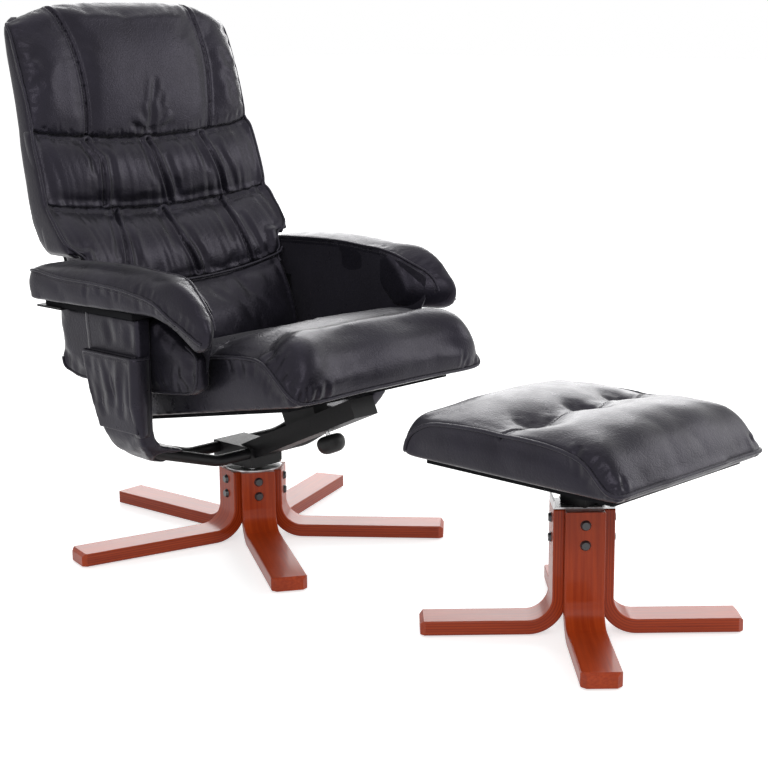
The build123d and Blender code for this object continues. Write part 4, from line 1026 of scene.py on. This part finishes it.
# the leather that closes each arm's inner side, from the pad down to the panel
facingLook = dict(inner=0.2498, thick=0.003, rear=0.222, front=-0.212, drop=0.014, rows=46,
                  foot=0.352, corner=(-0.166, 2.4), least=0.004, proud=0.0006)


def innerFacing(side, look):
    rings = []
    seam = [[value / 1000 for value in row] for row in reversed(armInner)]
    for y in np.linspace(look["rear"], look["front"], look["rows"]):
        # it follows the pad's inner seam, which leads outward at the front
        across, high = [np.interp(y, [row[1] for row in seam], [row[k] for row in seam]) for k in (0, 2)]
        high -= look["drop"]
        start, slope = look["corner"]
        low = min(look["foot"] + max(0.0, start - y) * slope, high - look["least"])
        inner = max(look["inner"], across - look["proud"])
        outer = inner + look["thick"]
        ring = [(inner, high), (outer, high), (outer, low), (inner, low)]
        rings.append([(side * x, chairY + y, z) for x, z in ring])
    return lofted(hands[side] + "InnerFacing", rings)


innerFacings = [innerFacing(side, facingLook) for side in hands]
for obj in innerFacings:
    dress(obj, leather)
print("inner facings made")


# the part of each pocket that wraps round its sleeve's front
wrapLook = dict(low=262, high=409, rows=28, fade=60, out=322, back=4,
                ring=((301, -58), (301, -65.5), (314, -66.5), (325, -66), (332, -63), (336.2, -58),
                      (337, -50), (334, -46), (322, -46), (322, -58)))


def pocketWrap(side, look):
    rings = []
    for z in np.linspace(look["low"], look["high"], look["rows"]):
        # it thins out towards its foot
        share = min(1.0, (z - look["low"]) / look["fade"])
        ring = [(min(x, look["out"] + (x - look["out"]) * share), y + (1 - share) * look["back"] * (y < -60))
                for x, y in look["ring"]]
        rings.append([chairSpot(side * x, y, z) for x, y in ring])
    return lofted(hands[side] + "PocketWrap", rings)


pocketWraps = [pocketWrap(side, wrapLook) for side in hands]
for obj in pocketWraps:
    dress(obj, leather)
    shadeSmooth(obj)
print("pocket wraps made")


# the leather cover of the back's rear shell
shellLook = dict(voxel=0.006, soften=9)
rearCover = softCopy("rearCover", ["back_shell"], shellLook)
skin = finishSoft(rearCover, 12)
rearSeams = [dropLine(skin, throughPoints([(x, 0, z) for z in (0.33, 0.5, 0.7, 0.85, 0.97)]),
                      (0, -1, 0), 1.5) for x in (-0.13, 0.13)]
rearCreases = [(line, 0.003, 0.0028, 0.35, False) for line in rearSeams]
for number, line in enumerate(rearSeams):
    rearCreases += gathers(skin, line, (1, 0, -0.2), "rearSeam", 151 + number)
    rearCreases += gathers(skin, line, (-1, 0, 0.2), "rearSeam", 155 + number)
    stitchings["back"] += [offsetLine(skin, line, (way, 0, 0), 0.005) for way in (1, -1)]
carve(rearCover, rearCreases)
print("rear cover made")


# the boxing strips along the back's two sides
boxingLook = dict(rear=-15, inset=9, proud=1.0, rows=70,
                  shares=(0.388, 0.4, 0.425, 0.47, 0.53, 0.58, 0.63, 0.68, 0.7264, 0.8, 0.864, 0.93, 0.985,
                          1.003, 1.018, 1.03),
                  half=(266, 274, 281, 284, 284, 282, 281, 279, 275, 272, 271, 270, 267, 264, 257, 244),
                  front=(76, 76, 72, 61, 41, 38, 35, 31, 27, 25, 22, 17, 8, 5, 2, 0))


def sideBoxing(side, look):
    rings = []
    for share in np.linspace(look["shares"][0], look["shares"][-1], look["rows"]):
        half = np.interp(share, look["shares"], look["half"])
        front = np.interp(share, look["shares"], look["front"]) - 4
        inner, outer = half - look["inset"], half + look["proud"]
        depths = np.linspace(look["rear"] + 3, front - 3, 6)
        ring = [(inner, look["rear"]), (outer - 3, look["rear"])]
        ring += [(outer - 1.2 * abs(2 * k / 5 - 1) ** 2, depth) for k, depth in enumerate(depths)]
        ring += [(outer - 3, front), (inner, front)]
        rings.append([backSpot(side * across, share, depth) for across, depth in ring])
    return lofted(hands[side] + "Boxing", rings)


boxings = [sideBoxing(side, boxingLook) for side in hands]
for obj in boxings:
    dress(obj, leather)
    shadeSmooth(obj)
print("boxing strips made")


# piping and stitches, by geometry nodes along their lines
def newTree(name, inputs):
    tree = bpy.data.node_groups.new(name, "GeometryNodeTree")
    for label in ("Geometry", *inputs):
        kind = "NodeSocketGeometry" if label == "Geometry" else "NodeSocketFloat"
        tree.interface.new_socket(label, in_out="INPUT", socket_type=kind)
    tree.interface.new_socket("Geometry", in_out="OUTPUT", socket_type="NodeSocketGeometry")
    return tree, addNode(tree, "NodeGroupInput").outputs


def closeTree(tree, geometry, material):
    real = addNode(tree, "GeometryNodeRealizeInstances", {0: geometry})
    smooth = addNode(tree, "GeometryNodeSetShadeSmooth", {0: real.outputs[0]})
    painted = addNode(tree, "GeometryNodeSetMaterial", {0: smooth.outputs[0], "Material": material})
    addNode(tree, "NodeGroupOutput", {0: painted.outputs[0]})
    return tree


def pipingTree(material):
    tree, given = newTree("piping", ("Radius", "Step", "Pucker"))
    evened = addNode(tree, "GeometryNodeResampleCurve", {"Curve": given["Geometry"],
                                                         "Length": given["Step"]}, mode="LENGTH")
    ring = addNode(tree, "GeometryNodeCurvePrimitiveCircle", {"Resolution": 10, "Radius": given["Radius"]})
    tube = addNode(tree, "GeometryNodeCurveToMesh", {"Curve": evened.outputs[0], "Fill Caps": True,
                                                     "Profile Curve": ring.outputs[0]})
    noise = addNode(tree, "ShaderNodeTexNoise", {"Scale": 170.0, "Detail": 2.0})
    size = sum2(tree, "MULTIPLY", sum2(tree, "SUBTRACT", noise.outputs["Fac"], 0.5), given["Pucker"])
    facing = addNode(tree, "GeometryNodeInputNormal").outputs[0]
    shift = addNode(tree, "ShaderNodeVectorMath", {0: facing, "Scale": size}, operation="SCALE")
    moved = addNode(tree, "GeometryNodeSetPosition", {"Geometry": tube.outputs[0],
                                                      "Offset": shift.outputs[0]})
    return closeTree(tree, moved.outputs[0], material)


def stitchTree(material):
    tree, given = newTree("stitches", ("Pitch", "Length", "Thread"))
    spots = addNode(tree, "GeometryNodeCurveToPoints", {"Curve": given["Geometry"],
                                                        "Length": given["Pitch"]}, mode="LENGTH").outputs
    bead = addNode(tree, "GeometryNodeMeshUVSphere", {"Segments": 6, "Rings": 5, "Radius": 1.0})
    size = addNode(tree, "ShaderNodeCombineXYZ", {0: given["Thread"], 1: given["Thread"],
                                                  2: sum2(tree, "MULTIPLY", given["Length"], 0.5)})
    shaped = addNode(tree, "GeometryNodeTransform", {"Geometry": bead.outputs["Mesh"],
                                                     "Scale": size.outputs[0]})
    placed = addNode(tree, "GeometryNodeInstanceOnPoints", {
        "Points": spots["Points"], "Instance": shaped.outputs[0], "Rotation": spots["Rotation"]})
    return closeTree(tree, placed.outputs[0], material)


def curveOf(name, lines):
    data = bpy.data.curves.new(name, "CURVE")
    data.dimensions = "3D"
    for line in lines:
        if len(line) < 2:
            continue
        spline = data.splines.new("POLY")
        spline.points.add(len(line) - 1)
        for point, spot in zip(spline.points, line):
            point.co = (*spot, 1)
    return linkObject(name, data)


def growAlong(name, lines, tree, values):
    source = curveOf(name + "Line", lines)
    grown = source.modifiers.new("grown", "NODES")
    grown.node_group = tree
    sockets = {s.name: s.identifier for s in tree.interface.items_tree if s.in_out == "INPUT"}
    for key, value in values.items():
        grown[sockets[key]] = value
    graph = bpy.context.evaluated_depsgraph_get()
    mesh = bpy.data.meshes.new_from_object(source.evaluated_get(graph))
    source.modifiers.clear()
    bpy.data.objects.remove(source)
    mesh.name = name
    return linkObject(name, mesh)


trimLook = dict(step=0.005, pucker=0.0011, pitch=0.0062, stitchLength=0.0046, thread=0.00055)
pipingNodes, stitchNodes = pipingTree(pipingLeather), stitchTree(threadFinish)
trims = []
for body, rows in pipings.items():
    merged = bmesh.new()
    for radius in sorted({radius for _, radius in rows}):
        part = growAlong(body + "Part", [line for line, r in rows if r == radius], pipingNodes,
                         {"Radius": radius, "Step": trimLook["step"], "Pucker": trimLook["pucker"]})
        merged.from_mesh(part.data)
        bpy.data.objects.remove(part)
    piping = asObject(body + "Piping", merged)
    dress(piping, pipingLeather)
    trims.append((piping, body))
for body, rows in stitchings.items():
    stitches = growAlong(body + "Stitches", rows, stitchNodes,
                         {"Pitch": trimLook["pitch"], "Length": trimLook["stitchLength"],
                          "Thread": trimLook["thread"]})
    dress(stitches, threadFinish)
    trims.append((stitches, body))
print("piping and stitches made")


# every piece on its body
# each row: the piece, its body, the nodes that it replaces, and how full it is
rides = [(backParts[name], "back", [node], fill) for name, node, fill in backRows]
rides += [(rearCover, "back", ["back_shell"], 0.95), (seatCushion, "seat", ["seat_cushion"], 0.75),
          (stoolCushion, "stool_top", ["stool_cushion"], 0.75)]
for side, hand in hands.items():
    rides += [(armPads[side], "chair_frame", ["arm_pad_" + hand], 0.8),
              (armPanels[side][0], "chair_frame", ["arm_panel_" + hand], 0.7),
              (armSleeves[side], "chair_frame", ["arm_sleeve_" + hand], 0.95),
              (armPockets[side], "chair_frame", ["arm_pocket_" + hand], 0.1)]
for obj, body, nodes, fill in rides:
    dress(obj, leather)
    shadeSmooth(obj)
    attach(obj, body)
    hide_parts(*nodes)
trims += [(obj, "back") for obj in boxings] + [(obj, "chair_frame") for obj in pocketWraps + innerFacings]
for obj, body in trims:
    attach(obj, body)


# floor, light and backdrop
studio = dict(floor=0.8, floorGlow=0.62, floorReach=30, ambient=0.55)
# each lamp's place, the spot that it points at, its size and its power
lamps = dict(keyLamp=((-2.6, -2.2, 2.6), (0, 0, 0.5), 2.0, 34),
             fillLamp=((2.8, -2.0, 1.8), (0, 0, 0.5), 2.0, 34),
             topLamp=((0.2, 0.4, 3.2), (0, 0, 0.4), 2.6, 14),
             rimLamp=((4.3, 3.8, 2.6), (0, 0, 0.4), 4.5, 185))


def seenRays(tree):
    # 1 for what the camera sees, straight or in a surface
    rays = addNode(tree, "ShaderNodeLightPath").outputs
    seen = sum2(tree, "MAXIMUM", rays["Is Camera Ray"], rays["Is Glossy Ray"])
    return sum2(tree, "MAXIMUM", seen, rays["Is Transmission Ray"])


def addFloor(setup):
    mesh = bpy.data.meshes.new("floor")
    reach = setup["floorReach"]
    mesh.from_pydata([(-reach, -reach, 0), (reach, -reach, 0), (reach, reach, 0), (-reach, reach, 0)], [],
                     [(0, 1, 2, 3)])
    floor = linkObject("floor", mesh)
    finish, tree, skin = newFinish("paleFloor", **{"Base Color": (setup["floor"],) * 3 + (1,),
                                                   "Roughness": 0.7})
    glow = addNode(tree, "ShaderNodeEmission", {
        "Color": (1, 1, 1, 1), "Strength": sum2(tree, "MULTIPLY", seenRays(tree), setup["floorGlow"])})
    added = addNode(tree, "ShaderNodeAddShader", {0: skin.outputs[0], 1: glow.outputs[0]})
    feed(tree, tree.nodes["Material Output"], {"Surface": added.outputs[0]})
    mesh.materials.append(finish)


def addLamp(name, place, aim, size, power):
    lamp = bpy.data.lights.new(name, "AREA")
    lamp.size = size
    lamp.energy = power
    obj = linkObject(name, lamp)
    obj.location = place
    obj.rotation_euler = (Vector(aim) - Vector(place)).to_track_quat("-Z", "Y").to_euler()


world = bpy.data.worlds.new("studio")
world.use_nodes = True
scene.world = world
sky = world.node_tree
sky.nodes.clear()
backdrop = addNode(sky, "ShaderNodeBackground", {
    "Color": (1, 1, 1, 1), "Strength": between(sky, seenRays(sky), studio["ambient"], 1.0)})
addNode(sky, "ShaderNodeOutputWorld", {"Surface": backdrop.outputs[0]})
addFloor(studio)
for name, row in lamps.items():
    addLamp(name, *row)
scene.view_settings.view_transform = "Standard"
print("studio made")
